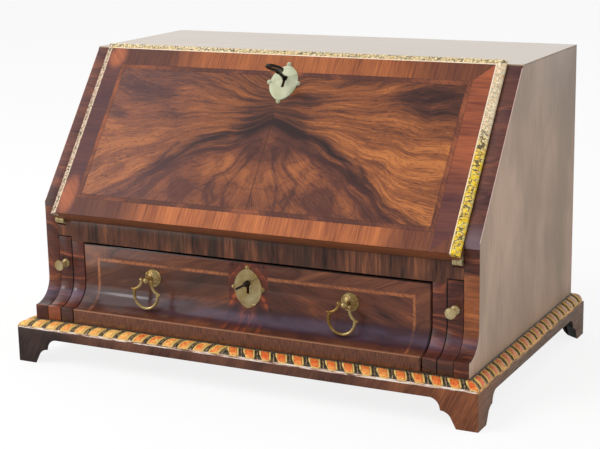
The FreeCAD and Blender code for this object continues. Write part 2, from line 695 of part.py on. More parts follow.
def lock_case(key_drop):
    """Lock case with its keyhole at a distance below its top edge."""
    half = LOCK_WIDTH / 2
    case = box((-half, -LOCK_HEIGHT, 0), (half, 0, LOCK_DEPTH))
    low = (-half + LOCK_WALL, -LOCK_HEIGHT + LOCK_WALL, LOCK_WALL)
    case = case.cut(box(low, (half - LOCK_WALL, -LOCK_WALL, LOCK_DEPTH - LOCK_WALL)))
    hole = keyhole(LOCK_DEPTH - LOCK_WALL - CUT, LOCK_DEPTH + CUT)
    return case.cut(placed(hole, Placement(Vector(0, -key_drop, 0), Rotation()))).cut(bolt_way(0))


def lock_pocket():
    """Pocket that a lock case fits."""
    return box((-LOCK_WIDTH / 2, -LOCK_HEIGHT, -CUT), (LOCK_WIDTH / 2, 0, LOCK_DEPTH))


def stud_places(with_bottom):
    """Centres of an escutcheon's studs."""
    up, out = PLATE_HALF_HEIGHT + LUG_OUTSET, PLATE_HALF_WIDTH + LUG_OUTSET
    places = [(0, up), (-out, 0), (out, 0)]
    return places + [(0, -up)] if with_bottom else places


def plate_blank():
    """Pointed oval outline of an escutcheon, as thick as the plate."""
    right, left = Vector(PLATE_HALF_WIDTH, 0, 0), Vector(-PLATE_HALF_WIDTH, 0, 0)
    top, foot = Vector(0, PLATE_HALF_HEIGHT, 0), Vector(0, -PLATE_HALF_HEIGHT, 0)
    sides = [Part.Arc(foot, right, top).toShape(), Part.Arc(top, left, foot).toShape()]
    return Part.Face(Part.Wire(sides)).extrude(Vector(0, 0, PLATE_THICKNESS))


def escutcheon(plate, with_bottom):
    """Escutcheon from its plate, with a lug for each stud, the studs' holes and the keyhole."""
    for x, y in stud_places(with_bottom):
        plate = plate.fuse(rod(LUG_RADIUS, (x, y, 0), (0, 0, 1), PLATE_THICKNESS))
    plate = plate.removeSplitter()
    for x, y in stud_places(with_bottom):
        plate = plate.cut(rod(STUD_SHANK_RADIUS, (x, y, -CUT), (0, 0, 1), PLATE_THICKNESS + CUT))
    rise = Placement(Vector(0, KEYHOLE_RISE, 0), Rotation())
    return plate.cut(placed(keyhole(-CUT, PLATE_THICKNESS + CUT), rise))


def fall_escutcheon():
    """Flat escutcheon of the fall, with a bevelled edge."""
    plate = plate_blank()
    rim = [edge for edge in plate.Edges if edge.BoundBox.ZMin > PLATE_THICKNESS / 2]
    return escutcheon(plate.makeChamfer(PLATE_BEVEL, rim), True)


def bent_layer():
    """Layer on the drawer's front that follows the cavetto, in the frame of the drawer's escutcheon."""
    centre = yz(FILLET_Y, CAVETTO_TOP)

    def on_cavetto(offset, turn):
        reach = CAVETTO_RADIUS - offset
        return centre + yz(reach * math.cos(turn), -reach * math.sin(turn))

    inner = [on_cavetto(0, math.pi / 8), on_cavetto(0, math.pi / 4)]
    outer = [on_cavetto(PLATE_THICKNESS, math.pi / 8), yz(FRONT_Y - PLATE_THICKNESS, CAVETTO_TOP)]
    steps = [yz(FRONT_Y, CAVETTO_TOP), tuple(inner), on_cavetto(PLATE_THICKNESS, math.pi / 4), tuple(outer)]
    steps.append(yz(FRONT_Y - PLATE_THICKNESS, DRAWER_TOP))
    layer = across(flat(yz(FRONT_Y, DRAWER_TOP), steps), -DRAWER_X, DRAWER_X)
    return placed(layer, DRAWER_PLATE_FRAME.inverse())


def drawer_escutcheon():
    """Escutcheon of the drawer, bent at its foot to follow the cavetto."""
    sides = plate_blank()
    blank = sides.fuse(placed(sides, Placement(Vector(0, 0, PLATE_THICKNESS), Rotation())))
    return escutcheon(blank.common(bent_layer()), False)


def stud(x, y):
    """Domed stud on a lug of an escutcheon, with its shank in the wood."""
    face = PLATE_THICKNESS
    ball_radius = (STUD_RADIUS ** 2 + STUD_RISE ** 2) / (2 * STUD_RISE)
    ball = Part.makeSphere(ball_radius, Vector(x, y, face + STUD_RISE - ball_radius))
    dome = ball.common(rod(STUD_RADIUS, (x, y, face), (0, 0, 1), STUD_RISE + CUT))
    return dome.fuse(stud_shank(x, y)).removeSplitter()


def stud_shank(x, y):
    """Shank of a stud."""
    return rod(STUD_SHANK_RADIUS, (x, y, -STUD_SHANK), (0, 0, 1), STUD_SHANK + PLATE_THICKNESS)


def studs(with_bottom):
    """All the studs of an escutcheon."""
    return [stud(x, y) for x, y in stud_places(with_bottom)]


def key(tip, reach, half_width, half_length, turn):
    """Key on the Z axis with its tip at a depth, its bow at a reach, turned about its shank."""
    bow_place = Placement(Vector(0, BOW_THICKNESS / 2, reach), FACING)
    outer = Part.Ellipse(Vector(0, 0, 0), half_width, half_length)
    inner = Part.Ellipse(Vector(0, 0, 0), half_width - BOW_RIM, half_length - BOW_RIM)
    ring = Part.Face(Part.Wire(outer.toShape())).cut(Part.Face(Part.Wire(inner.toShape())))
    bow = placed(ring.extrude(Vector(0, 0, BOW_THICKNESS)), bow_place)
    shank = rod(KEY_RADIUS, (0, 0, tip), (0, 0, 1), reach - half_length + BOW_RIM / 2 - tip)
    collar_start = reach - half_length - KEY_COLLAR_LENGTH
    collar = rod(KEY_COLLAR_RADIUS, (0, 0, collar_start), (0, 0, 1), KEY_COLLAR_LENGTH)
    bit_low = tip + BIT_INSET
    half = BIT_THICKNESS / 2
    bit = box((-BIT_LENGTH, -half, bit_low), (0, half, bit_low + BIT_WIDTH))
    whole = bow.fuse(shank).fuse(collar).fuse(bit).removeSplitter()
    return placed(whole, Placement(Vector(0, 0, 0), Rotation(Vector(0, 0, 1), turn)))


def key_frame(plate_frame, droop):
    """Frame of a key in its keyhole, from the frame of the escutcheon."""
    local = Placement(Vector(0, KEYHOLE_RISE, PLATE_THICKNESS), Rotation(Vector(1, 0, 0), droop))
    return plate_frame.multiply(local)


def key_depth(wood):
    """Z of a key's tip in its own frame, through wood of a thickness."""
    return KEY_TIP - wood - PLATE_THICKNESS


# Fall

def fall_board():
    """Core of the fall, rebated so that its lip covers the case, and pierced for its fittings."""
    core = box((-FALL_X, 0, 0), (FALL_X, CORE_TOP, LIP_UNDERSIDE))
    board = core.fuse(box((-FIELD_EDGE_X, 0, LIP_UNDERSIDE), (FIELD_EDGE_X, FIELD_TOP, FALL_BACK)))
    board = board.removeSplitter().cut(writing_lining())
    lock_place = Placement(Vector(0, CORE_TOP, 0), Rotation())
    board = board.cut(placed(lock_pocket(), lock_place))
    room_start = (hinge_inner_x() - KNUCKLE_CLEARANCE, 0, 0)
    knuckle_room = rod(KNUCKLE_RADIUS + KNUCKLE_CLEARANCE, room_start, (1, 0, 0), FALL_X)
    strap_room = box((FALL_X - STRAP_THICKNESS, 0, 0), (FALL_X + CUT, STRAP_LENGTH, STRAP_WIDTH))
    for cutter in [knuckle_room, strap_room] + strap_screws():
        board = board.cut(cutter).cut(mirrored(cutter))
    return board.cut(fall_piercing())


def fall_piercing():
    """The keyhole and the studs' holes through the fall's veneers and core."""
    plate_place = Placement(Vector(0, PLATE_SLOPE_PLACE, FALL_THICKNESS), Rotation())
    rise = Placement(Vector(0, KEYHOLE_RISE, 0), Rotation())
    hole = placed(keyhole(LOCK_DEPTH - FALL_THICKNESS, CUT), rise)
    shanks = [stud_shank(x, y) for x, y in stud_places(True)]
    return placed(hole.fuse(shanks), plate_place)


def writing_lining():
    """Lining let into the fall's inner face."""
    high = CORE_TOP - LOCK_HEIGHT - LINING_MARGIN / 4
    x = FALL_X - LINING_MARGIN
    return box((-x, LINING_MARGIN, 0), (x, high, LINING_THICKNESS))


def frame_strips(outer_x, low, high, width):
    """Four mitred strips of veneer round a panel of the fall."""
    inner_x, inner_low, inner_high = outer_x - width, low + width, high - width
    corners = [(-outer_x, low), (outer_x, low), (outer_x, high), (-outer_x, high)]
    inner = [(-inner_x, inner_low), (inner_x, inner_low), (inner_x, inner_high), (-inner_x, inner_high)]
    strips = []
    for index in range(4):
        after = (index + 1) % 4
        outline = [corners[index], corners[after], inner[after], inner[index]]
        strips.append(plan(outline, FALL_BACK, FALL_THICKNESS).cut(fall_piercing()))
    return strips


def crossbanding():
    """Crossbanding round the fall."""
    return frame_strips(FIELD_EDGE_X, 0, FIELD_TOP, CROSSBAND_WIDTH)


def feather_banding():
    """Feather banding inside the crossbanding."""
    inset = CROSSBAND_WIDTH
    return frame_strips(FIELD_EDGE_X - inset, inset, FIELD_TOP - inset, FEATHER_WIDTH)


def matched_veneers():
    """Two book-matched leaves of figured veneer, meeting on the middle line."""
    inset = CROSSBAND_WIDTH + FEATHER_WIDTH
    leaf = box((0, inset, FALL_BACK), (FIELD_EDGE_X - inset, FIELD_TOP - inset, FALL_THICKNESS))
    return [leaf.cut(fall_piercing()), mirrored(leaf).cut(fall_piercing())]


def fall_moulding_section():
    """Section of the fall's moulding, from the panel outwards along X and up from its underside."""
    rise = FALL_THICKNESS - LIP_UNDERSIDE
    shoulder = Vector(0, 0, rise)
    edge = Vector(FALL_MOULDING_WIDTH - FALL_MOULDING_LIP, 0, rise - FALL_MOULDING_DROP)
    middle = (shoulder + edge) * 0.5 + Vector(FALL_MOULDING_SWELL, 0, FALL_MOULDING_SWELL)
    outer = Vector(FALL_MOULDING_WIDTH, 0, rise - FALL_MOULDING_DROP)
    return flat(Vector(0, 0, 0), [shoulder, (middle, edge), outer, Vector(FALL_MOULDING_WIDTH, 0, 0)])


def fall_moulding_side():
    """The moulding of the fall's right edge, mitred at the top."""
    section = placed(fall_moulding_section(), Placement(Vector(FIELD_EDGE_X, 0, LIP_UNDERSIDE), Rotation()))
    strip = section.extrude(Vector(0, FALL_TOP, 0))
    outline = [(FIELD_EDGE_X, 0), (FALL_X, 0), (FALL_X, FALL_TOP), (FIELD_EDGE_X, FIELD_TOP)]
    return strip.common(plan(outline, 0, FALL_THICKNESS))


def fall_moulding_top():
    """The moulding of the fall's top edge, mitred at both ends."""
    turn = Placement(Vector(-FALL_X, FIELD_TOP, LIP_UNDERSIDE), Rotation(Vector(0, 0, 1), 90))
    strip = placed(fall_moulding_section(), turn).extrude(Vector(2 * FALL_X, 0, 0))
    outline = [(-FALL_X, FALL_TOP), (FALL_X, FALL_TOP), (FIELD_EDGE_X, FIELD_TOP), (-FIELD_EDGE_X, FIELD_TOP)]
    return strip.common(plan(outline, 0, FALL_THICKNESS))


# Drawer

def drawer_front():
    """Shaped front of the drawer, with its lock pocket and its holes."""
    steps = front_steps(RUN_Z) + [yz(DRAWER_BACK_FACE_Y, RUN_Z), yz(DRAWER_BACK_FACE_Y, DRAWER_TOP)]
    front = across(flat(yz(FRONT_Y, DRAWER_TOP), steps), -DRAWER_X, DRAWER_X)
    front = front.cut(placed(lock_pocket(), DRAWER_LOCK_FRAME))
    hole = placed(keyhole(-DRAWER_FRONT_THICKNESS, CUT), Placement(Vector(0, KEYHOLE_RISE, 0), Rotation()))
    shanks = [stud_shank(x, y) for x, y in stud_places(False)]
    front = front.cut(placed(hole.fuse(shanks), DRAWER_PLATE_FRAME))
    for side in (-1, 1):
        start = (side * HANDLE_SPREAD / 2, FRONT_Y - CUT, BOTTOM_TOP + HANDLE_HEIGHT)
        length = DRAWER_FRONT_THICKNESS + 2 * CUT
        front = front.cut(rod(POST_RADIUS + POST_CLEARANCE, start, (0, 1, 0), length))
    return front


def drawer_box():
    """Sides and back of the drawer."""
    top = DRAWER_TOP - DRAWER_WALL_DROP
    inner = DRAWER_X - DRAWER_WALL
    side = box((inner, DRAWER_BACK_FACE_Y, RUN_Z), (DRAWER_X, DRAWER_END_Y, top))
    back_low = RUN_Z + DRAWER_BOTTOM_LIFT + DRAWER_BOTTOM_THICKNESS
    back = box((-inner, DRAWER_END_Y - DRAWER_WALL, back_low), (inner, DRAWER_END_Y, top))
    return side, mirrored(side), back


def drawer_bottom():
    """Bottom of the drawer, between its sides."""
    inner = DRAWER_X - DRAWER_WALL
    low = RUN_Z + DRAWER_BOTTOM_LIFT
    return box((-inner, DRAWER_BACK_FACE_Y, low), (inner, DRAWER_END_Y, low + DRAWER_BOTTOM_THICKNESS))


def handle_frame(side, turn):
    """Frame of a handle's pivot: X along the pivot, Z up, and Y into the drawer front."""
    centre = Vector(side * HANDLE_SPREAD / 2, FRONT_Y - POST_REACH, BOTTOM_TOP + HANDLE_HEIGHT)
    return Placement(centre, Rotation(Vector(0, 1, 0), turn))


HANDLES = {
    "left": handle_frame(-1, HANDLE_TURN_LEFT),
    "right": handle_frame(1, HANDLE_TURN_RIGHT),
}


def turned(profile, centre_y):
    """Solid of revolution about the Y axis, from (radius, y) points, with its zero at a Y place."""
    points = [Vector(radius, centre_y + y, 0) for radius, y in profile]
    return flat(points[0], points[1:]).revolve(Vector(0, 0, 0), Vector(0, 1, 0), 360)


def handle_rose():
    """Stepped rose under a handle's post."""
    step = ROSE_RIM + (ROSE_RISE - ROSE_RIM) / 3
    bore = POST_RADIUS + POST_CLEARANCE
    rim_flat = (ROSE_RADIUS + ROSE_STEP_RADIUS) / 2
    profile = [(bore, 0), (ROSE_RADIUS, 0), (ROSE_RADIUS, -ROSE_RIM / 2), (rim_flat, -ROSE_RIM)]
    profile += [(ROSE_STEP_RADIUS, -ROSE_RIM), (ROSE_STEP_RADIUS, -step), (bore, -ROSE_RISE)]
    return turned(profile, POST_REACH)


def handle_post():
    """Post of a handle, with the ball that the bail pivots in."""
    tail = POST_REACH + DRAWER_FRONT_THICKNESS + POST_TAIL
    post = rod(POST_RADIUS, (0, 0, 0), (0, 1, 0), tail).fuse(Part.makeSphere(BALL_RADIUS))
    bore_start = (-BALL_RADIUS - CUT, 0, 0)
    return post.cut(rod(PINTLE_RADIUS + PINTLE_CLEARANCE, bore_start, (1, 0, 0), 2 * (BALL_RADIUS + CUT)))


def handle_nut():
    """Square nut on the post, inside the drawer."""
    low_y = POST_REACH + DRAWER_FRONT_THICKNESS
    half = NUT_SIZE / 2
    nut = box((-half, low_y, -half), (half, low_y + NUT_THICKNESS, half))
    return nut.cut(rod(POST_RADIUS + POST_CLEARANCE, (0, 0, 0), (0, 1, 0), low_y + POST_TAIL))


def bent_wire(centre_x, centre_z, radius, start, sweep):
    """Round wire bent on an arc in the XZ plane, with rounded ends. Angles are in degrees from +X."""
    section_x = centre_x + radius
    wire = Part.Wire(Part.makeCircle(BAIL_WIRE, Vector(section_x, 0, centre_z), Vector(0, 0, 1)))
    centre = Vector(centre_x, 0, centre_z)
    bend = Part.Face(wire).revolve(centre, Vector(0, -1, 0), sweep)
    bend = bend.fuse(Part.makeSphere(BAIL_WIRE, Vector(section_x, 0, centre_z)))
    far = Rotation(Vector(0, -1, 0), sweep).multVec(Vector(radius, 0, 0)) + centre
    bend = bend.fuse(Part.makeSphere(BAIL_WIRE, far))
    bend.rotate(centre, Vector(0, -1, 0), start)
    return bend


def bail():
    """Bail of a handle, hanging from its pivot at the origin."""
    bead_x = BALL_RADIUS + BAIL_BEAD_GAP + BAIL_BEAD
    radius = BAIL_SHOULDER_RADIUS
    shoulder = bent_wire(bead_x + radius, -BAIL_SHOULDER_DROP, radius, 180, BAIL_HORN_SWEEP)
    bead = Part.makeSphere(BAIL_BEAD, Vector(bead_x, 0, 0))
    pintle_start = BALL_RADIUS - PINTLE_DEPTH
    pintle = rod(PINTLE_RADIUS, (pintle_start, 0, 0), (1, 0, 0), bead_x - pintle_start)
    arm = shoulder.fuse(bead).fuse(pintle)
    loop_z = BAIL_LOOP_RADIUS - BAIL_DROP
    loop = bent_wire(0, loop_z, BAIL_LOOP_RADIUS, 180 - BAIL_LOOP_OPENING, 180 + 2 * BAIL_LOOP_OPENING)
    return arm.fuse(mirrored(arm)).fuse(loop)


def knob_place():
    """Where the right loper's knob meets the loper."""
    return (LOPER_X, FRONT_Y, BOTTOM_TOP + KNOB_HEIGHT)


def loper_knob():
    """Turned knob of the right loper, with the spike that holds it."""
    disc_back = KNOB_REACH - KNOB_DISC
    middle = (KNOB_FOOT_HEIGHT + disc_back) / 2
    ring = (KNOB_NECK + KNOB_FOOT) / 2
    edge = KNOB_RADIUS - KNOB_DISC / 4
    profile = [(0, KNOB_TAIL), (KNOB_TAIL_RADIUS, KNOB_TAIL), (KNOB_TAIL_RADIUS, 0), (KNOB_FOOT, 0)]
    foot_top = 2 * KNOB_FOOT_HEIGHT
    profile += [(KNOB_FOOT, -KNOB_FOOT_HEIGHT), (ring, -foot_top), (KNOB_NECK, -foot_top)]
    profile += [(KNOB_NECK, -middle), (ring, -middle - KNOB_DISC / 2), (KNOB_NECK, -middle - KNOB_DISC)]
    profile += [(KNOB_NECK, -disc_back), (edge, -disc_back), (KNOB_RADIUS, -disc_back - KNOB_DISC / 2)]
    profile += [(edge, -KNOB_REACH), (0, -KNOB_REACH)]
    return placed(turned(profile, 0), Placement(Vector(*knob_place()), Rotation()))


# Nest

def pigeonhole_edges():
    """X of the middle of each divider between pigeonholes, and of the nest's two ends."""
    pitch = 2 * INNER_X / PIGEONHOLES
    return [-INNER_X + pitch * index for index in range(PIGEONHOLES + 1)]


def nest_shelf():
    """Shelf between the inner drawers and the pigeonholes."""
    return box((-INNER_X, NEST_FRONT_Y, SHELF_Z), (INNER_X, BACK_INNER_Y, SHELF_Z + NEST_BOARD))


def drawer_divider():
    """Upright between the two inner drawers."""
    return box((-NEST_BOARD / 2, NEST_FRONT_Y, BED_TOP), (NEST_BOARD / 2, BACK_INNER_Y, SHELF_Z))


def pigeonhole_dividers():
    """Uprights between the pigeonholes."""
    half = NEST_BOARD / 2
    low_z = SHELF_Z + NEST_BOARD
    edges = pigeonhole_edges()[1:-1]
    return [box((x - half, NEST_FRONT_Y, low_z), (x + half, BACK_INNER_Y, TOP_UNDERSIDE)) for x in edges]


def valances():
    """Arched board over the mouth of each pigeonhole."""
    edges = pigeonhole_edges()
    boards = []
    for left, right in zip(edges, edges[1:]):
        low = left + (0 if left == edges[0] else NEST_BOARD / 2)
        high = right - (0 if right == edges[-1] else NEST_BOARD / 2)
        foot = TOP_UNDERSIDE - VALANCE_DEPTH
        start = Vector(low, NEST_FRONT_Y, foot)
        middle = Vector((low + high) / 2, NEST_FRONT_Y, foot + VALANCE_ARCH)
        end = Vector(high, NEST_FRONT_Y, foot)
        top_right = Vector(high, NEST_FRONT_Y, TOP_UNDERSIDE)
        face = flat(start, [(middle, end), top_right, Vector(low, NEST_FRONT_Y, TOP_UNDERSIDE)])
        boards.append(face.extrude(Vector(0, VALANCE_THICKNESS, 0)))
    return boards


def inner_drawer_reach():
    """Lowest and highest X of the right inner drawer."""
    return NEST_BOARD / 2 + INNER_GAP, INNER_X - INNER_GAP


def inner_drawer():
    """Right inner drawer: front, two sides, back and bottom."""
    low_x, high_x = inner_drawer_reach()
    low_z, high_z = BED_TOP + INNER_GAP, SHELF_Z - INNER_GAP
    front_back = NEST_FRONT_Y + INNER_FRONT_THICKNESS
    end_y = INNER_END_Y
    floor = low_z + INNER_BOTTOM
    front = box((low_x, NEST_FRONT_Y, low_z), (high_x, front_back, high_z))
    front = front.cut(rod(INNER_KNOB_NECK, inner_knob_place(), (0, 1, 0), INNER_KNOB_TAIL))
    left = box((low_x, front_back, low_z), (low_x + INNER_WALL, end_y, high_z))
    right = box((high_x - INNER_WALL, front_back, low_z), (high_x, end_y, high_z))
    back = box((low_x + INNER_WALL, end_y - INNER_WALL, floor), (high_x - INNER_WALL, end_y, high_z))
    bottom = box((low_x + INNER_WALL, front_back, low_z), (high_x - INNER_WALL, end_y, floor))
    return front, left, right, back, bottom


def inner_knob_place():
    """Where the right inner drawer's knob meets its front."""
    low_x, high_x = inner_drawer_reach()
    return ((low_x + high_x) / 2, NEST_FRONT_Y, BED_TOP + INNER_DRAWER_OPENING / 2)


def inner_knob():
    """Small turned knob of the right inner drawer."""
    radius, neck = INNER_KNOB_RADIUS, INNER_KNOB_NECK
    waist, swell = -INNER_KNOB_REACH / 3, -INNER_KNOB_REACH * 2 / 3
    profile = [(0, INNER_KNOB_TAIL), (neck, INNER_KNOB_TAIL), (neck, waist), (radius, swell)]
    profile += [(neck * 1.5, -INNER_KNOB_REACH), (0, -INNER_KNOB_REACH)]
    return placed(turned(profile, 0), Placement(Vector(*inner_knob_place()), Rotation()))


def on_fall(*shapes):
    """Shapes of the fall's own frame, carried to where the closed fall is."""
    return [placed(shape, FALL_FRAME) for shape in shapes]


def build_case():
    """Write the nodes of the case."""
    save("side_right", side_board())
    save("side_left", mirrored(side_board()))
    save("top_board", top_board())
    save("top_veneer", bevelled_top(TOP_BOARD_TOP, CASE_TOP, HALF_WIDTH))
    save("back_board", back_board())
    save("bottom_board", bottom_board())
    save("writing_bed", writing_bed())
    save("front_rail", front_rail())
    save("partition_right", partition())
    save("partition_left", mirrored(partition()))
    save("drawer_stops", *drawer_stops())
    save("plinth_front", plinth_front())
    save("plinth_right", plinth_side())
    save("plinth_left", mirrored(plinth_side()))
    save("rear_brackets", *rear_brackets())
    save("plinth_blocks", *plinth_battens(), *corner_blocks())
    save("base_moulding_front", base_moulding_front())
    save("base_moulding_right", base_moulding_side())
    save("base_moulding_left", mirrored(base_moulding_side()))
    fall_keep = fall_keep_blank().cut(fall_bolt_way())
    save("lock_keeps", fall_keep, drawer_keep_blank().cut(drawer_bolt_way()))
    leaf = [case_leaf()] + leaf_screws()
    save("case_hinges", *leaf, *[mirrored(piece) for piece in leaf])
    save("hinge_pins", hinge_pin(), mirrored(hinge_pin()))


def build_nest():
    """Write the nodes of the nest and its two drawers."""
    save("nest_shelf", nest_shelf())
    save("nest_dividers", drawer_divider(), *pigeonhole_dividers())
    save("nest_valances", *valances())
    save("inner_drawer_right", *inner_drawer())
    save("inner_drawer_left", *[mirrored(piece) for piece in inner_drawer()])
    save("inner_knob_right", inner_knob())
    save("inner_knob_left", mirrored(inner_knob()))


def build_lopers():
    """Write the nodes of the two lopers."""
    save("loper_right", *loper())
    save("loper_left", *[mirrored(piece) for piece in loper()])
    save("loper_knob_right", loper_knob())
    save("loper_knob_left", mirrored(loper_knob()))


def build_fall():
    """Write the nodes of the fall, its lock and its key."""
    save("fall_board", *on_fall(fall_board()))
    save("fall_veneer", *on_fall(*matched_veneers()))
    save("fall_feather_banding", *on_fall(*feather_banding()))
    save("fall_crossbanding", *on_fall(*crossbanding()))
    save("fall_moulding_right", *on_fall(fall_moulding_side()))
    save("fall_moulding_left", *on_fall(mirrored(fall_moulding_side())))
    save("fall_moulding_top", *on_fall(fall_moulding_top()))
    save("writing_lining", *on_fall(writing_lining()))
    strap = [fall_strap()] + strap_screws()
    save("fall_hinges", *on_fall(*strap, *[mirrored(piece) for piece in strap]))
    save("fall_escutcheon", placed(fall_escutcheon(), FALL_PLATE_FRAME))
    save("fall_escutcheon_studs", *[placed(one, FALL_PLATE_FRAME) for one in studs(True)])
    save("fall_lock", placed(lock_case(PLATE_DROP - KEYHOLE_RISE), FALL_LOCK_FRAME))
    save("fall_bolt", placed(bolt(), FALL_LOCK_FRAME))
    tip = key_depth(FALL_THICKNESS)
    fall_key = key(tip, FALL_KEY_REACH, FALL_BOW_HALF_WIDTH, FALL_BOW_HALF_LENGTH, FALL_KEY_TURN)
    save("fall_key", placed(fall_key, key_frame(FALL_PLATE_FRAME, FALL_KEY_DROOP)))


def build_drawer():
    """Write the nodes of the drawer, its handles, its lock and its key."""
    save("drawer_front", drawer_front())
    save("drawer_box", *drawer_box())
    save("drawer_bottom", drawer_bottom())
    save("handle_roses", *[placed(handle_rose(), frame) for frame in HANDLES.values()])
    posts = [placed(handle_post(), frame) for frame in HANDLES.values()]
    save("handle_posts", *posts, *[placed(handle_nut(), frame) for frame in HANDLES.values()])
    for side, frame in HANDLES.items():
        save("bail_" + side, placed(bail(), frame))
    save("drawer_escutcheon", placed(drawer_escutcheon(), DRAWER_PLATE_FRAME))
    save("drawer_escutcheon_studs", *[placed(one, DRAWER_PLATE_FRAME) for one in studs(False)])
    key_drop = DRAWER_TOP - PLATE_Z - KEYHOLE_RISE
    save("drawer_lock", placed(lock_case(key_drop), DRAWER_LOCK_FRAME))
    save("drawer_bolt", placed(bolt(), DRAWER_LOCK_FRAME))
    tip = key_depth(DRAWER_FRONT_THICKNESS)
    drawer_key = key(tip, DRAWER_KEY_REACH, DRAWER_BOW_HALF_WIDTH, DRAWER_BOW_HALF_LENGTH, DRAWER_KEY_TURN)
    save("drawer_key", placed(drawer_key, key_frame(DRAWER_PLATE_FRAME, 0)))


build_case()
build_nest()
build_lopers()
build_fall()
build_drawer()
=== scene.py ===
"""Finishes, carved mouldings and fittings of a walnut writing box with a sloping fall and one drawer."""

import json
import math

import bpy
from mathutils import Matrix, Vector

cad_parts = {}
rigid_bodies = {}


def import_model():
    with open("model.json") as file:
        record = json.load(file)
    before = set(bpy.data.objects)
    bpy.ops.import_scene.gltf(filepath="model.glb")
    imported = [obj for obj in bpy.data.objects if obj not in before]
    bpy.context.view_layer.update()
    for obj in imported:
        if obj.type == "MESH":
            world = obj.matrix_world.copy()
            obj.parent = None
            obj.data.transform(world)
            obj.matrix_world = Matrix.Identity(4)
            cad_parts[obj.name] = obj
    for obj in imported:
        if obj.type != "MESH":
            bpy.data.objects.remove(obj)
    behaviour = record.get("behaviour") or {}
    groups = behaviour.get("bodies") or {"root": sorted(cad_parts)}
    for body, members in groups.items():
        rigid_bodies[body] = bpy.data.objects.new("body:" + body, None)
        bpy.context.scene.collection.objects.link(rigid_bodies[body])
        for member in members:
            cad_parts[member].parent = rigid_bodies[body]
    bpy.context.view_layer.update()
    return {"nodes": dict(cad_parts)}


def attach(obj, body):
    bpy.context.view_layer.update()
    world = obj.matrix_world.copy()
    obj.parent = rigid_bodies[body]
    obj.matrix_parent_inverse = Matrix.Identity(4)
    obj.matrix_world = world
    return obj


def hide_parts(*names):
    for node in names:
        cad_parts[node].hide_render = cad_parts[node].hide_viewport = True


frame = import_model()

bl_info = {
    "name": "Writing Box Finishes",
    "version": (1, 0, 0),
    "blender": (4, 5, 0),
    "location": "View3D > Sidebar > Writing Box",
    "description": "Gives a packed writing box its veneers, carved mouldings and brass",
    "category": "Object",
}

# Places on the box, in millimetres: X to the right, Y to the back, Z up

MM = 0.001
HALF_WIDTH = 230.0
INNER_X = 215.5
FRONT_Y = -116.65
FILLET_Y = -140.95
BACK_Y = 154.75
PLINTH_X = 243.8
PLINTH_FRONT_Y = -154.75
PLINTH_HEIGHT = 35.2
FILLET_TOP = 56.4
SLOPE_FOOT = 152.0
LOPER_X = 199.9
PARTITION_TOP = 123.2
RAIL_FOOT = 119.0
DRAWER_TOP = 117.36
DRAWER_X = 184.3
PANEL_X = 170.0
PANEL_TOP = 105.0
FLAME_X = 21.0

# Places on the fall, up its face from the hinge

SLOPE = math.radians(52.73)
HINGE_Y = -117.75
HINGE_Z = 140.0
FALL_X = 215.0
FALL_TOP = 195.26
FIELD_EDGE_X = 207.0
FIELD_TOP = 187.26
LIP_UNDERSIDE = 9.6
CROSSBAND = 18.0
FEATHER = 5.0
BAND_X = FIELD_EDGE_X - CROSSBAND
BAND_TOP = FIELD_TOP - CROSSBAND


# Shader arithmetic

def arithmetic(operation):
    """A method that does one step of arithmetic with a socket and perhaps another value."""
    return lambda self, other=0: self.graph.math(operation, self, other)


class Socket:
    """One output of a shader node, which takes part in ordinary arithmetic."""

    __add__ = __radd__ = arithmetic("ADD")
    __sub__ = arithmetic("SUBTRACT")
    __mul__ = __rmul__ = arithmetic("MULTIPLY")
    __truediv__ = arithmetic("DIVIDE")
    __abs__ = arithmetic("ABSOLUTE")
    __gt__ = arithmetic("GREATER_THAN")
    __lt__ = arithmetic("LESS_THAN")
    power = arithmetic("POWER")
    root = arithmetic("SQRT")
    sine = arithmetic("SINE")
    floor = arithmetic("FLOOR")
    low = arithmetic("MINIMUM")
    high = arithmetic("MAXIMUM")

    def __init__(self, graph, link):
        self.graph = graph
        self.link = link

    def __rsub__(self, other):
        return self.graph.math("SUBTRACT", other, self)

    def __neg__(self):
        return self * -1

    def rise(self, start, end):
        """A smooth step from 0 at start to 1 at end."""
        values = {"Value": self, "From Min": start, "From Max": end, "To Min": 0, "To Max": 1}
        return self.graph.node("ShaderNodeMapRange", {"interpolation_type": "SMOOTHSTEP"}, values)


class Graph:
    """A shader node tree that is built by arithmetic."""

    def __init__(self, tree):
        self.tree = tree

    def node(self, kind, settings, values, *outs):
        """Adds a node of any kind and returns the outputs asked for, or else its first one."""
        added = self.tree.nodes.new(kind)
        for key, value in settings.items():
            setattr(added, key, value)
        for key, value in values.items():
            self.feed(added.inputs[key], value)
        sockets = [Socket(self, added.outputs[out]) for out in outs or (0,)]
        return sockets if len(sockets) > 1 else sockets[0]

    def feed(self, entry, value):
        """Links a node's input to a socket, or sets it to a constant, where three numbers are a tint."""
        if isinstance(value, Socket):
            self.tree.links.new(value.link, entry)
        elif isinstance(value, tuple) and len(value) == 3:
            entry.default_value = tint(*value)
        else:
            entry.default_value = value

    def math(self, operation, first, second):
        """One step of arithmetic."""
        return self.node("ShaderNodeMath", {"operation": operation}, {0: first, 1: second})

    def vector(self, x, y, z):
        """A vector from its three parts."""
        return self.node("ShaderNodeCombineXYZ", {}, {0: x, 1: y, 2: z})

    def parts(self, vector):
        """The three parts of a vector."""
        return self.node("ShaderNodeSeparateXYZ", {}, {0: vector}, 0, 1, 2)

    def ends(self, kind, surface):
        """Joins a shader to the tree's output node."""
        output = [node for node in self.tree.nodes if node.bl_idname == kind][0]
        self.feed(output.inputs["Surface"], surface)


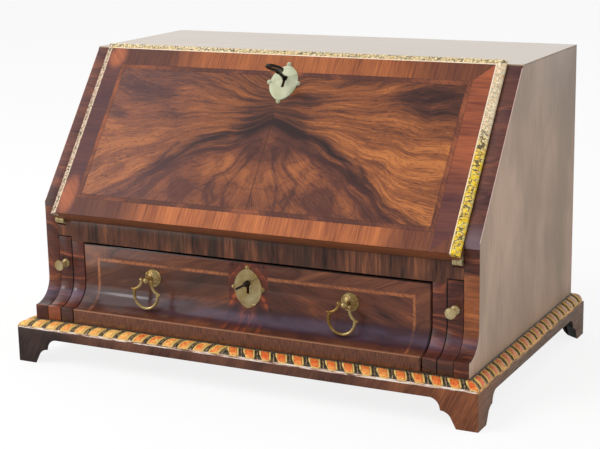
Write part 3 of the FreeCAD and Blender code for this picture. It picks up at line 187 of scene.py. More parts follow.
class Finish(Graph):
    """A procedural material, with the position of the shaded point in millimetres."""

    def __init__(self, name, look=None):
        self.look = look
        self.material = bpy.data.materials.new(name)
        self.material.use_nodes = True
        super().__init__(self.material.node_tree)
        self.shader = self.tree.nodes["Principled BSDF"]
        place = self.parts(self.node("ShaderNodeTexCoord", {}, {}, "Object"))
        self.x, self.y, self.z = [part * 1000 for part in place]

    def wear(self, scale, detail=2, roughness=0.5, seed=0):
        """Noise of one size in all three directions."""
        return noise(self.x * scale, self.y * scale, self.z * scale + seed, detail, roughness)

    def set(self, name, value):
        """Sets one of the shader's inputs to a constant or to a socket."""
        self.feed(self.shader.inputs[name], value)

    def bump(self, height, depth):
        """Relief from a height of 0 to 1 that stands for a depth in millimetres."""
        values = {"Strength": 1, "Distance": depth * MM, "Height": height}
        self.set("Normal", self.node("ShaderNodeBump", {}, values))

    def gloss(self, wax, roughness, haze):
        """The polish of waxed wood: a soft base under a hazy coat."""
        self.set("Roughness", roughness)
        self.set("Specular IOR Level", 0.25)
        self.set("Coat Weight", wax)
        self.set("Coat Roughness", haze)
        self.set("Coat IOR", 1.5)


def tint(*shown):
    """A colour from three 0-255 display values, as the shader's linear ones."""
    parts = [value / 255 for value in shown]
    return (*[part / 12.92 if part <= 0.04045 else ((part + 0.055) / 1.055) ** 2.4 for part in parts], 1)


def graph_of(*values):
    """The graph that the sockets among some values belong to."""
    return next(value.graph for value in values if isinstance(value, Socket))


def noise(x, y, z, detail=2, roughness=0.5):
    """Smooth noise, 0 to 1, with features one unit across."""
    graph = graph_of(x, y, z)
    values = {"Vector": graph.vector(x, y, z), "Scale": 1, "Detail": detail, "Roughness": roughness}
    return graph.node("ShaderNodeTexNoise", {}, values)


def streaks(x, y, z, detail=2, roughness=0.5):
    """The same noise with its middle range stretched from 0 to 1."""
    return noise(x, y, z, detail, roughness).rise(0.3, 0.7)


def mix(first, second, share, blend="MIX"):
    """A blend of two colours."""
    settings = {"data_type": "RGBA", "blend_type": blend}
    return graph_of(first, second, share).node("ShaderNodeMix", settings, {0: share, 6: first, 7: second}, 2)


def times(colour, factor):
    """A colour made lighter or darker by a factor."""
    return mix(colour, graph_of(colour, factor).vector(factor, factor, factor), 1, "MULTIPLY")


def shades(value, *stops):
    """A colour read along (place, colour) stops."""
    colour = stops[0][1]
    for (start, _), (end, shade) in zip(stops, stops[1:]):
        colour = mix(colour, shade, value.rise(start, end))
    return colour


# Grain of the woods

def along_fall(finish):
    """Distance up the closed fall from its hinge."""
    return (finish.y - HINGE_Y) * math.cos(SLOPE) + (finish.z - HINGE_Z) * math.sin(SLOPE)


def line_at(value, centre, half, blur):
    """1 within half of a centre, fading over a blur."""
    return abs(value - centre).rise(half + blur, half - blur)


def fibres(along, across, depth, seed):
    """Fine lines that run with the grain, 0 to 1."""
    return streaks(along * 0.03, across * 0.75, depth * 0.75 + seed, 3, 0.7)


def pores(along, across, depth, seed):
    """Short dark dashes of open grain, 0 to 1."""
    return noise(along * 0.22, across * 1.3, depth * 1.3 + seed, 1).rise(0.58, 0.72)


def figure(along, across, depth, seed, waver):
    """Broad bands of colour that waver along the grain, 0 to 1."""
    sway = noise(along * 0.012, across * 0.02, depth * 0.02 + seed) * (9 * waver)
    return noise(along * 0.006, across * 0.1 + sway, depth * 0.1 + seed, 3, 0.6)


def joinery(along, across, depth, seed, tones, strength, waver=1):
    """Straight-grained walnut in a dark, a middle and a light tone."""
    bands = figure(along, across, depth, seed, waver)
    lines = fibres(along, across, depth, seed)
    holes = pores(along, across, depth, seed)
    colour = shades(bands, *zip((0.25, 0.5, 0.75), tones))
    colour = times(colour, lines * (0.6 * strength) + (1 - 0.32 * strength))
    return mix(colour, (38, 22, 18), holes * (0.5 * strength))


def blocks(along, size, seed):
    """A different steady value for each block of cross-banding along a strip."""
    values = {"W": (along / size).floor() * 7.31 + seed}
    return along.graph.node("ShaderNodeTexWhiteNoise", {"noise_dimensions": "1D"}, values, "Value")


def bloom(finish, colour, strength):
    """Painted sheen: a streaky blue-grey band low in the hollow of the cavetto, standing in for the sky
    mirrored in the polish.
    """
    x, z = finish.x, finish.z
    # Painted sheen, not a colour of the wood itself
    streak = noise(x * 0.022, z * 0.09, 45).rise(0.36, 0.58)
    hollow = z.rise(57.5, 63) * z.rise(74, 66.5)
    return mix(colour, (104, 95, 122), hollow * (streak * 0.75 + 0.25) * strength)


# The woods. A function's name is the slot it is for, and it returns the base colour.

PLAIN_TONES = ((72, 42, 30), (104, 62, 40), (132, 82, 52))
HIDDEN_TONES = ((58, 32, 25), (92, 52, 36), (132, 78, 50))
# Near black for painted shadow in the gaps between parts
SHADOW = (10, 6, 6)


def side_walnut(finish):
    """Plain walnut on the sides' faces, cross-banded along their edges, with a painted sheen low in the front
    edge's hollow and a painted highlight along the slope's outer edge.
    """
    x, y, z = abs(finish.x), finish.y, finish.z
    right = finish.x > 0
    cloud = noise(y * 0.012, z * 0.006, finish.x * 0.01, 3, 0.6)
    face = shades(cloud, (0.35, (152, 131, 114)), (0.65, (174, 148, 129)))
    hair = streaks(y * 0.55, z * 0.022, 3, 3, 0.7)
    fine = streaks(y * 1.7, z * 0.05, 5, 2, 0.6)
    face = times(face, (hair * 0.19 + fine * 0.11 + 0.85) * (z.rise(290, 190) * 0.28 + 0.99))
    run = z + y
    block = blocks(run, 27, 3)
    tones = ((40, 22, 22), (82, 42, 32), (150, 82, 44))
    stile = joinery(finish.x, run * 1.2, y, 9, tones, 0.8)
    stile = times(stile, block * 0.6 + 0.62)
    tones = ((92, 46, 26), (146, 82, 44), (180, 106, 58))
    ruddy = joinery(finish.x, run * 1.2, y, 9, tones, 0.8)
    stile = mix(stile, ruddy, right * z.rise(58, 84) * z.rise(133, 122) * (block * 0.4 + 0.5))
    # Painted sheen low in the hollow of the front edge
    stile = bloom(finish, stile, 0.42)
    tones = ((64, 40, 46), (98, 60, 54), (136, 80, 58))
    slope = joinery(finish.x, run * 0.7, y, 19, tones, 0.7)
    foot = mix((58, 46, 46), (122, 104, 112), right)
    slope = mix(slope, foot, z.rise(176, 158) * 0.75)
    band = mix(stile, slope, z > SLOPE_FOOT)
    # Painted highlight: a pale line along the slope's outer arris, for light caught on the edge
    line = line_at(x, HALF_WIDTH - 0.35, 0.28, 0.2) * (z > SLOPE_FOOT + 5.5) * (z < 296)
    band = mix(band, (240, 206, 196), line * 0.85)
    inside = joinery(y, z, finish.x, 13, PLAIN_TONES, 0.7)
    band = mix(inside, band, (x > INNER_X + 0.2).high((y < -98) * (z < HINGE_Z - 1)))
    tones = ((74, 46, 34), (96, 62, 44), (120, 80, 58))
    back = joinery(z, x * 1.4, y, 17, tones, 0.6)
    edge = x < HALF_WIDTH - 0.12
    face = mix(face, inside, x < INNER_X + 0.2)
    face = mix(face, back, edge * (y > BACK_Y - 0.4))
    finish.gloss(0.45, 0.5, 0.36)
    finish.bump(hair, 0.03)
    return mix(face, band, edge * (y < 140))


def front_walnut(finish):
    """Cross-banding on the rail, partitions and lopers, with plain walnut behind their faces, a painted sheen
    low in the hollow and painted shadow in the seams round the lopers.
    """
    x, y, z = finish.x, finish.y, finish.z
    slow = streaks(x * 0.05, z * 0.01, 21, 3, 0.6)
    lines = streaks(x * 0.32, z * 0.02, 23, 3, 0.7)
    hair = streaks(x * 1.2, z * 0.05, 25, 2, 0.6)
    tone = slow * 0.5 + lines * 0.42 + hair * 0.2 - 0.1
    rail = shades(tone, (0, (36, 22, 18)), (0.45, (88, 51, 35)), (1, (142, 84, 52)))
    rail = times(rail, blocks(x, 31, 7) * 0.4 + 0.82)
    smudge = noise(x * 0.06, z * 0.01, 4).rise(0.54, 0.66)
    rail = mix(rail, (44, 38, 28), smudge * 0.55)
    run = z + y
    block = blocks(run, 23, 5)
    outer = abs(x) > LOPER_X
    tones = ((38, 20, 20), (84, 42, 32), (146, 76, 44))
    upright = joinery(x, run * 1.4, y, 27, tones, 0.8)
    upright = times(upright, block * 0.7 + (abs(x) < LOPER_X) * 0.15 + 0.5)
    # Painted sheen low in the hollow
    upright = bloom(finish, upright, 0.42)
    foot = mix((70, 48, 40), (164, 84, 46), outer * (x < 0) * 0.9)
    upright = mix(upright, foot, (z < FILLET_TOP + 0.2) * 0.6)
    # Painted shadow along the seams between lopers and partitions and over the lopers' tops
    painted_gap_shadow = line_at(abs(x), LOPER_X, 0.65, 0.2).high(line_at(z, PARTITION_TOP - 0.1, 0.75, 0.2) * outer)
    upright = mix(upright, SHADOW, painted_gap_shadow * (y < -100))
    on_rail = (z > RAIL_FOOT) * (abs(x) < LOPER_X - 0.1).high(z > PARTITION_TOP)
    face = mix(upright, rail, on_rail)
    deep = joinery(y, z, x, 29, HIDDEN_TONES, 0.8, 0.3)
    long = joinery(x, y, z, 33, HIDDEN_TONES, 0.8, 0.3)
    hidden = mix(deep, long, z > PARTITION_TOP)
    finish.gloss(1, 0.38, 0.16)
    return mix(face, hidden, y > FRONT_Y + 0.7)


def drawer_walnut(finish):
    """The drawer front's two figured panels with a feather band round each, painted shade and sheen in the
    cavetto, and a dark top edge and right edge of painted shadow, also over its top face.
    """
    x, height = finish.x, finish.z
    mirror = abs(x)
    lean = height + mirror * 0.35
    tone = noise(lean * 0.045, mirror * 0.012, (x > 0) * 3 + 5, 4, 0.62)
    lines = fibres(mirror, lean, finish.y, 6)
    panel = shades(tone, (0.3, (56, 31, 27)), (0.5, (90, 50, 36)), (0.72, (140, 78, 44)))
    panel = times(panel, lines * 0.4 + 0.8)
    # Painted sheen: a grey-brown haze high on the left half of the panels
    panel = mix(panel, (74, 56, 48), height.rise(70, 84) * x.rise(80, -40) * 0.4)
    panel = times(panel, x.rise(40, 150) * 0.35 + 1)
    tones = ((72, 40, 31), (100, 58, 41), (132, 80, 52))
    border = joinery(x * 0.5 + height, height - x * 0.5, finish.y, 8, tones, 0.6)
    border = times(border, x.rise(40, 160) * 0.35 + 0.9)
    outside = (height - PANEL_TOP).rise(0, 0.6).high((mirror - PANEL_X).rise(0, 0.6))
    colour = mix(panel, border, outside)
    fringe = noise(mirror * 0.5 + height * 0.5, mirror * 0.1 - height * 0.1, 3)
    fade = noise(mirror * 0.03, height * 0.03, x.rise(-1, 1) * 4).rise(0.3, 0.55)
    level = line_at(height, PANEL_TOP - 1.8, 1.5, 0.9) * (mirror < PANEL_X - 0.1) * (mirror > FLAME_X - 1)
    tall = line_at(mirror, PANEL_X - 1.4, 1.2, 0.7) * (height < PANEL_TOP) * (height > FILLET_TOP - 0.4)
    feather = shades(fringe, (0.35, (140, 84, 52)), (0.65, (186, 112, 66)))
    colour = mix(colour, feather, (level * (fade * 0.5 + 0.3)).high(tall * 0.85))
    flicker = noise(mirror * 0.1, (height + mirror * 0.9) * 0.09, 7, 3, 0.6)
    flame = shades(flicker, (0.3, (54, 28, 26)), (0.52, (96, 46, 32)), (0.72, (176, 84, 44)))
    colour = mix(colour, flame, (mirror - FLAME_X).rise(1, -1))
    # Painted shade in the hollow of the cavetto, then a painted lilac sheen that grows towards the right
    hollow = height.rise(78, 70) * height.rise(FILLET_TOP + 0.2, 60)
    colour = mix(colour, times(colour, 0.5), hollow)
    colour = mix(colour, (62, 40, 54), hollow * (x.rise(0, 120) * 0.3 + 0.25))
    # Painted sheen low in the hollow, on the left
    colour = bloom(finish, colour, x.rise(-150, -60) * 0.27)
    hair = streaks(x * 0.9, height * 0.12, 5, 3, 0.7)
    fillet = mix((70, 40, 31), (130, 79, 53), hair * 0.7 + 0.1)
    colour = mix(colour, fillet, height < FILLET_TOP)
    colour = mix(colour, (176, 124, 92), line_at(height, FILLET_TOP - 0.4, 0.4, 0.2) * 0.7)
    # Painted shadow along the top and right edges of the face, for the gaps above and beside the drawer
    over = height.rise(116.2, 116.8) * (height < DRAWER_TOP)
    beside = x.rise(DRAWER_X - 0.9, DRAWER_X - 0.4) * (x < DRAWER_X)
    colour = mix(colour, SHADOW, over.high(beside))
    finish.gloss(1, 0.36, 0.14)
    # Painted shadow over the top face, seen through the gap under the rail
    return mix(colour, (30, 18, 15), (height > DRAWER_TOP - 0.06) * 0.88)


def plinth_walnut(finish):
    """Plinth boards with steeply leaning grain, darker to the left and redder to the right, with all but
    their outer faces painted near black towards the back as shade.
    """
    x, y, z = finish.x, finish.y, finish.z
    lean = x - z * 0.5
    lines = streaks(lean * 0.55, z * 0.03, 31, 3, 0.7)
    slow = streaks(lean * 0.05, z * 0.02, 35, 3, 0.6)
    tone = lines * 0.5 + slow * 0.5
    left = mix((28, 20, 20), (72, 53, 47), tone)
    middle = mix((58, 34, 28), (118, 74, 54), tone)
    right = mix((78, 40, 24), (158, 92, 54), tone)
    front = mix(left, mix(middle, right, x.rise(120, 210)), x.rise(-205, -150))
    streak = streaks(y * 0.04, z * 0.5, 37, 3, 0.7)
    pale = mix((96, 74, 60), (142, 114, 94), streak)
    pale = mix(pale, (136, 88, 62), y.rise(-60, -140) * 0.5)
    colour = mix(front, pale, abs(x) > PLINTH_X - 0.3)
    # Painted shade: inner faces behind the front are coloured near black
    painted_shade_inside = (abs(x) < PLINTH_X - 0.6) * (y > -100)
    finish.gloss(0.4, 0.5, 0.3)
    return mix(colour, (12, 9, 9), painted_shade_inside)


def top_walnut(finish):
    """Pale polished top."""
    tones = ((146, 125, 99), tuple(finish.look.top_tone), (177, 153, 124))
    finish.gloss(1, 0.35, 0.28)
    finish.set("Coat IOR", 1.55)
    return joinery(finish.x, finish.y, finish.z, 41, tones, 0.25, 0.3)


def inner_walnut(finish):
    """Plain walnut of the inside, a little paler on the fall's lower edge."""
    colour = joinery(finish.x, finish.y + finish.z, finish.z, 51, PLAIN_TONES, 0.7)
    foot = mix(times(colour, 0.8), (140, 80, 48), 0.5)
    finish.gloss(0.3, 0.5, 0.35)
    return mix(colour, foot, along_fall(finish) < 0.7)


def oak(finish):
    """Oak of the back, the drawer's box and the blocks."""
    tones = ((112, 80, 50), (142, 104, 68), (164, 126, 86))
    deep = joinery(finish.y, finish.z + finish.x, finish.z, 61, tones, 0.7, 0.3)
    wide = joinery(finish.x, finish.z, finish.y * 0.2, 63, tones, 0.7, 0.16)
    finish.set("Roughness", 0.6)
    return mix(deep, wide, finish.y > 140)


def back_foot_wood(finish):
    """Near-black wood of the rear feet, painted that dark as the shade they stand in."""
    # Painted shade: the rear feet are coloured near black for the shadow under the box
    shade = fibres(finish.x, finish.z, finish.y, 71)
    finish.set("Roughness", 0.7)
    finish.set("Specular IOR Level", 0.15)
    return shades(shade, (0.3, (14, 10, 9)), (0.7, (34, 26, 22)))


# The fall's matched veneers

MAIN_VEIN = ((0, 92), (18, 86), (43, 78), (64, 66), (84, 48), (103, 36), (128, 20), (156, 0))
INNER_VEIN = ((8, 74), (26, 68), (42, 62), (60, 56), (78, 46), (96, 34))
OUTER_VEIN = ((90, 60), (113, 38), (142, 20), (180, 0))
BROAD_VEIN = ((36, 70), (70, 50), (86, 33), (112, 17), (138, 2))
LEGS = (((20, 66), (30, 48), (43, 31), (44, 14), (37, 0)), ((10, 62), (17, 47), (26, 32), (28, 14), (25, 0)))

# Ovals of lighter or darker wood: centre, half sizes, blur and change of tone
CLOUDS = (
    ((158, 122), (38, 15), 0.6, -0.22), ((178, 92), (18, 10), 0.6, -0.16), ((8, 82), (26, 22), 0.7, -0.26),
    ((20, 108), (24, 18), 0.7, -0.14), ((42, 36), (13, 17), 0.5, 0.14), ((7, 24), (9, 22), 0.5, 0.08),
    ((150, 52), (46, 34), 0.6, 0.12), ((72, 10), (24, 11), 0.5, -0.24), ((104, 40), (14, 8), 0.6, -0.2),
)


def stroke(u, v, start, end, half, blur):
    """1 along a straight stroke between two points, fading at its sides."""
    step_u = end[0] - start[0]
    step_v = end[1] - start[1]
    from_u = u - start[0]
    from_v = v - start[1]
    share = ((from_u * step_u + from_v * step_v) / (step_u ** 2 + step_v ** 2)).high(0).low(1)
    off_u = from_u - share * step_u
    off_v = from_v - share * step_v
    return (off_u * off_u + off_v * off_v).root().rise(half + blur, half - blur * 0.3)


def vein(u, v, points, half, blur):
    """1 along a line of strokes."""
    mark = stroke(u, v, points[0], points[1], half, blur)
    for start, end in zip(points[1:], points[2:]):
        mark = mark.high(stroke(u, v, start, end, half, blur))
    return mark


def patch(u, v, centre, size, blur):
    """1 inside an oval, fading at its edge."""
    off_u = (u - centre[0]) / size[0]
    off_v = (v - centre[1]) / size[1]
    return (off_u * off_u + off_v * off_v).root().rise(1 + blur, 1 - blur)


def figured_walnut(finish):
    """Two matched leaves whose veins fan down and out from the middle."""
    x = finish.x
    s = along_fall(finish)
    side = (x > 0) * 17
    mirror = abs(x)
    drift_u = noise(mirror * 0.018, s * 0.018, side + 1, 1.5, 0.4) - 0.5
    drift_v = noise(mirror * 0.018, s * 0.018, side + 9, 1.5, 0.4) - 0.5
    u = mirror + drift_u * 30
    v = s - (CROSSBAND + FEATHER) + drift_v * 24
    reach = u + 40
    drop = 110 - v
    angle = finish.math("ARCTAN2", drop, reach)
    radius = (reach * reach + drop * drop).root()
    broad = noise(angle * 13, radius * 0.01, side * 0.1 + 2, 3, 0.6).rise(0.28, 0.72)
    rays = streaks(angle * 46, radius * 0.022, side * 0.1 + 3, 3, 0.65)
    hair = noise(angle * 190, radius * 0.05, 4, 3, 0.7).rise(0.32, 0.68)
    mist = streaks(angle * 420, radius * 0.12, 8, 2, 0.6)
    swirl = noise(u * 0.03, v * 0.034, 12)
    rings = 1 - abs((swirl * 17).sine())
    outer = broad * 0.34 + rays * 0.22 + 0.18
    inner = swirl * 0.95 - 0.1 - rings.power(5) * 0.2 + (rays - 0.5) * 0.16
    low = angle.rise(0.42, 0.54)
    tone = outer * (1 - low) + inner * low
    tone = tone - v.rise(70, 125) * 0.08 - v.rise(126, 141) * 0.08
    for centre, size, blur, change in CLOUDS:
        tone = tone + patch(u, v, centre, size, blur) * change
    soft = vein(u, v, MAIN_VEIN, 2.4, 9).high(vein(u, v, BROAD_VEIN, 2.6, 8) * 0.85)
    thin = vein(u, v, MAIN_VEIN, 0.3, 2.6).high(vein(u, v, INNER_VEIN, 0.4, 3))
    thin = thin.high(vein(u, v, OUTER_VEIN, 0.4, 3.2))
    for leg in LEGS:
        thin = thin.high(vein(u, v, leg, 0.5, 3.4))
    tone = tone - soft * (0.42 - rays * 0.24) - thin * (0.3 - hair * 0.12)
    tone = tone + (hair - 0.5) * 0.24 + (mist - 0.5) * 0.14
    colour = shades(tone, (-0.12, (44, 26, 26)), (0.16, (78, 44, 34)),
                    (0.42, (130, 72, 38)), (0.74, (186, 110, 52)))
    colour = mix(colour, (116, 60, 46), low * 0.28)
    colour = mix(colour, (110, 74, 74), x.rise(-20, -160) * 0.36)
    dots = pores(radius, angle * 130, s * 0.2, 5)
    colour = mix(colour, (52, 30, 24), dots * 0.55)
    seam = mirror.rise(0.6, 0.2) * v.rise(100, 90)
    finish.gloss(1, 0.38, 0.17)
    return mix(colour, (44, 24, 20), seam * 0.7)


def banding(along, across, seed, dark, light):
    """Border veneer: fine straight lines across the strip, in slow changes of tone."""
    tone = streaks(along * 0.035, across * 0.006, seed, 3, 0.62)
    lines = streaks(along * 0.42, across * 0.012, seed + 2, 3, 0.7)
    hair = streaks(along * 1.3, across * 0.05, seed + 4, 2, 0.6)
    return mix(dark, light, (tone * 0.45 + lines * 0.4 + hair * 0.3 - 0.08).high(0).low(1))


def crossband_walnut(finish):
    """Border veneer with its grain across the strip."""
    x = finish.x
    s = along_fall(finish)
    width = abs(x)
    mitre_low = (s - (width - BAND_X)).rise(-0.4, 0.4)
    mitre_high = (FIELD_TOP - s - (FIELD_EDGE_X - width)).rise(-0.4, 0.4)
    upright = (width - BAND_X).rise(-0.3, 0.3) * mitre_low
    upright = upright * (1 - (s - BAND_TOP).rise(-0.3, 0.3) * (1 - mitre_high))
    upper = s.rise(150, 160)
    flat = banding(x, s, 81, (104, 48, 32), (206, 118, 58))
    flat = times(flat, 1 - upper * 0.18)
    far = x.rise(-96, -150).high(x.rise(128, 176) * 0.75).high(upper * width.rise(110, 160) * 0.6)
    flat = mix(flat, times(flat, 0.45), far)
    flat = mix(flat, (66, 40, 48), far * 0.48)
    left = x < -100
    lower = s.rise(95, 40)
    tall = banding(s, x, 83, (98, 46, 36), (182, 96, 54))
    tall = mix(tall, times(tall, 0.36), left.high(lower * 0.75))
    tall = mix(tall, (78, 52, 66), left.high(lower) * 0.42)
    corner = patch(x, s, (-199, 20), (9, 19), 0.4) + patch(x, s, (-197, 178), (9, 12), 0.5)
    warm = banding(s + x, x - s, 85, (122, 62, 40), (200, 112, 66))
    finish.gloss(1, 0.38, 0.18)
    return mix(mix(flat, tall, upright), warm, corner.low(1) * 0.8)


def rims(value, start):
    """1 on the lines just inside both edges of a feather band."""
    lines = [line_at(value, start + inset, 0.3, 0.3) for inset in (0.2, FEATHER - 0.2)]
    return lines[0].high(lines[1])


def feather_walnut(finish):
    """Narrow herringbone band between the field and its border."""
    x = abs(finish.x)
    s = along_fall(finish)
    weave = streaks((x + s) * 0.5, (x - s) * 0.06, 2)
    slow = noise(x * 0.02, s * 0.02, 6).rise(0.35, 0.65)
    colour = shades(weave * 0.3 + slow * 0.6, (0.1, (84, 46, 36)), (0.9, (150, 80, 46)))
    tall = rims(x, BAND_X - FEATHER) * (s > CROSSBAND) * (s < BAND_TOP)
    flat = rims(s, CROSSBAND).high(rims(s, BAND_TOP - FEATHER)) * (x < BAND_X)
    finish.gloss(1, 0.38, 0.18)
    return mix(colour, (44, 24, 24), tall.high(flat) * 0.55)


# Gilding, metal and leather

def gilt_rim(finish):
    """Plain gilding on the rims of the lobes."""
    finish.set("Roughness", 0.65)
    return tuple(finish.look.gold)


def gilt_clay(finish):
    """Crests worn from pale gold to red clay, redder to the right and greyer to the rear."""
    x, y, z = finish.x, finish.y, finish.z
    clay = tuple(finish.look.clay)
    wear = finish.wear(0.4, 4, 0.65)
    tone = wear + (finish.wear(0.03) - 0.5) * 0.5 + x.rise(-110, -170) * 0.12
    colour = shades(tone, (0.36, clay), (0.5, (238, 146, 66)), (0.68, (250, 202, 116)))
    crest = z.rise(38.6, 41.2) * 0.6 + 0.15
    colour = mix(colour, clay, x.rise(-20, 20) * crest * 0.75)
    on_side = (abs(x) > PLINTH_X - 13.5) * y.rise(-140, -120)
    colour = mix(colour, times(colour, 0.8), on_side)
    finish.set("Metallic", 0.05)
    finish.set("Roughness", 0.36)
    finish.bump(wear, 0.2)
    return mix(colour, (146, 118, 98), y.rise(-60, 130) * 0.7)


def gilt_ground(finish):
    """Dark ground between the lobes, with a pale rubbed line along the lip."""
    x, z = finish.x, finish.z
    streak = noise(x * 0.08, finish.y * 0.08, z * 0.6, 4, 0.7)
    dark = shades(finish.wear(0.5, 3, 0.6), (0.4, (34, 30, 24)), (0.62, (92, 84, 66)))
    rubbed = shades(streak, (0.38, (110, 74, 62)), (0.48, (200, 168, 150)), (0.6, (240, 226, 214)))
    golden = shades(streak, (0.4, (110, 84, 60)), (0.56, (226, 164, 96)))
    rubbed = mix(rubbed, golden, abs(x) > PLINTH_X - 1.6)
    finish.set("Roughness", 0.45)
    return mix(dark, rubbed, z.rise(37.4, 36.9))


def gilt_groove(finish):
    """Darker brown in the groove round each crest."""
    finish.set("Roughness", 0.6)
    return shades(finish.wear(0.5, 2, 0.6), (0.4, (64, 36, 20)), (0.62, (150, 92, 46)))


def gilt_rib(finish):
    """Pale worn ribs between the lobes."""
    finish.set("Roughness", 0.45)
    return shades(finish.wear(0.4, 3, 0.6), (0.38, (70, 58, 44)), (0.62, (178, 150, 116)))


def fall_gilt(finish):
    """Gilding round the fall: yellow and pale on the right, pinkish on the left, with painted dark crevice
    lines and painted highlights beside them.
    """
    x = finish.x
    s = along_fall(finish)
    past_side = abs(x) - FIELD_EDGE_X
    past_top = s - FIELD_TOP
    out = past_side.high(past_top)
    wear = noise(x * 0.5, s * 0.5, finish.y * 0.2, 3, 0.65)
    drift = noise(x * 0.25, s * 0.25, 7) * 6
    cells = finish.vector(x * 0.17 + drift * 0.22, s * 0.19 + drift * 0.18, 0)
    edge = finish.node("ShaderNodeTexVoronoi", {"feature": "DISTANCE_TO_EDGE"}, {"Vector": cells, "Scale": 1})
    yellow = shades(wear, (0.38, (220, 166, 8)), (0.52, (255, 220, 24)), (0.68, (255, 238, 150)))
    cream = shades(wear, (0.38, (232, 196, 150)), (0.6, (255, 240, 212)))
    right = mix(yellow, cream, (s + wear * 60).rise(122, 158))
    left = shades(wear, (0.4, (182, 146, 120)), (0.62, (236, 214, 192)))
    top = shades(wear, (0.4, (196, 158, 90)), (0.62, (244, 226, 178)))
    colour = mix(top, mix(left, right, x > 0), past_side > past_top)
    # Painted highlights along the edges of the cells
    colour = mix(colour, (255, 244, 206), edge.rise(0.17, 0.1) * 0.35)
    # Painted shade in the carving's crevices: thin dark lines, fainter high on the right
    lines = edge.rise(0.09, 0.03) * out.rise(1, 1.6) * (1 - out.rise(7, 7.8) * 0.6)
    faint = (x > 100) * s.rise(100, 150) * (s < FIELD_TOP)
    colour = mix(colour, (58, 40, 18), lines * (0.85 - faint * 0.45))
    rim = out.rise(1.3, 0.9) * (x > -200)
    finish.set("Metallic", 0.05)
    finish.set("Roughness", 0.4)
    return mix(colour, (244, 224, 206), rim * 0.7)


def lining_leather(finish):
    """Dark tooled leather on the writing surface."""
    grain = finish.wear(1.4, 3, 0.6)
    finish.set("Roughness", 0.55)
    finish.bump(grain, 0.08)
    return shades(grain, (0.35, (44, 26, 20)), (0.65, tuple(finish.look.leather)))


def metal(finish, dark, light, roughness, metallic, seed):
    """A worn metal that varies between two colours."""
    wear = finish.wear(0.06, 2, 0.45, seed)
    finish.set("Metallic", metallic)
    finish.set("Roughness", wear * 0.12 + (roughness - 0.06))
    return shades(wear, (0.28, dark), (0.7, light))


def brass(finish):
    """Sheet brass, in the colours that are set."""
    return metal(finish, tuple(finish.look.brass_dark), tuple(finish.look.brass_light), 0.24, 0.75, 1)


def cast_brass(finish):
    """Deeper yellow brass of the cast fittings."""
    return metal(finish, (186, 142, 76), (255, 228, 162), 0.2, 0.88, 3)


def pale_brass(finish):
    """Dull greenish brass of the fall's escutcheon."""
    return metal(finish, (196, 198, 160), (222, 224, 194), 0.5, 0.45, 5)


def steel(finish):
    """Grey steel of the screws and lock plates."""
    return metal(finish, (108, 105, 100), (146, 143, 137), 0.42, 0.9, 9)


def dark_steel(finish):
    """Nearly black steel of the keys."""
    return metal(finish, (40, 36, 34), (92, 84, 76), 0.38, 0.9, 13)


FINISHES = (
    side_walnut, front_walnut, drawer_walnut, plinth_walnut, top_walnut, inner_walnut, oak, back_foot_wood,
    figured_walnut, crossband_walnut, feather_walnut, gilt_rim, gilt_clay, gilt_ground, gilt_groove,
    gilt_rib, fall_gilt, lining_leather, brass, cast_brass, pale_brass, steel, dark_steel,
)


# Modelling

def pick(obj):
    """Makes one object the selected and active one."""
    bpy.ops.object.select_all(action="DESELECT")
    obj.select_set(True)
    bpy.context.view_layer.objects.active = obj


def in_edit(obj):
    """Opens one object for editing with everything selected."""
    pick(obj)
    bpy.ops.object.mode_set(mode="EDIT")
    bpy.ops.mesh.select_mode(type="VERT")
    bpy.ops.mesh.select_all(action="SELECT")


def done():
    """Ends editing."""
    bpy.ops.object.mode_set(mode="OBJECT")


def settle(obj):
    """Moves an object's place into its mesh."""
    pick(obj)
    bpy.ops.object.transform_apply(location=True, rotation=True, scale=True)


def outward(obj):
    """Turns a piece's faces outwards."""
    in_edit(obj)
    bpy.ops.mesh.normals_make_consistent(inside=False)
    done()


def trimmed(obj, point, normal):
    """Cuts a piece at a plane, in the selection mode that is set, and drops the normal's side."""
    pick(obj)
    bpy.ops.object.mode_set(mode="EDIT")
    bpy.ops.mesh.select_all(action="SELECT")
    bpy.ops.mesh.bisect(plane_co=[part * MM for part in point], plane_no=normal, use_fill=True,
                        clear_outer=True, clear_inner=False)
    done()


def chosen(obj, kind, items, wanted):
    """Opens a piece for editing with only its wanted edges or faces selected."""
    in_edit(obj)
    bpy.ops.mesh.select_mode(type=kind)
    bpy.ops.mesh.select_all(action="DESELECT")
    done()
    for item in items:
        item.select = wanted(item)
    bpy.ops.object.mode_set(mode="EDIT")


def smoothed(obj, degrees):
    """Smooth shading with sharp edges above an angle."""
    pick(obj)
    bpy.ops.object.shade_smooth_by_angle(angle=math.radians(degrees))


def painted(obj, *names):
    """Gives a piece its materials, in order."""
    obj.data.materials.clear()
    for name in names:
        obj.data.materials.append(bpy.data.materials[name])


def joined(objects, name):
    """Several pieces as one."""
    pick(objects[0])
    for obj in objects:
        obj.select_set(True)
    bpy.ops.object.join()
    objects[0].name = name
    objects[0].data.name = name
    return objects[0]


def copied(obj, name, matrix):
    """A copy of a piece with its own mesh, carried by a matrix."""
    copy = bpy.data.objects.new(name, obj.data.copy())
    bpy.context.scene.collection.objects.link(copy)
    copy.matrix_world = matrix
    settle(copy)
    return copy


def node_copy(node, name):
    """A node's mesh as a piece of its own, with doubled points merged and flat faces whole."""
    obj = copied(frame["nodes"][node], name, Matrix())
    in_edit(obj)
    bpy.ops.mesh.remove_doubles(threshold=1e-6)
    bpy.ops.mesh.dissolve_limited(angle_limit=math.radians(0.6))
    done()
    return obj


def stand_for(obj, node):
    """Lets a piece ride with the node it stands for, and hides the node."""
    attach(obj, frame["nodes"][node].parent.name.split(":")[-1])
    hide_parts(node)


def moved(x, y=0, z=0):
    """The matrix of a move in millimetres."""
    return Matrix.Translation(Vector((x, y, z)) * MM)


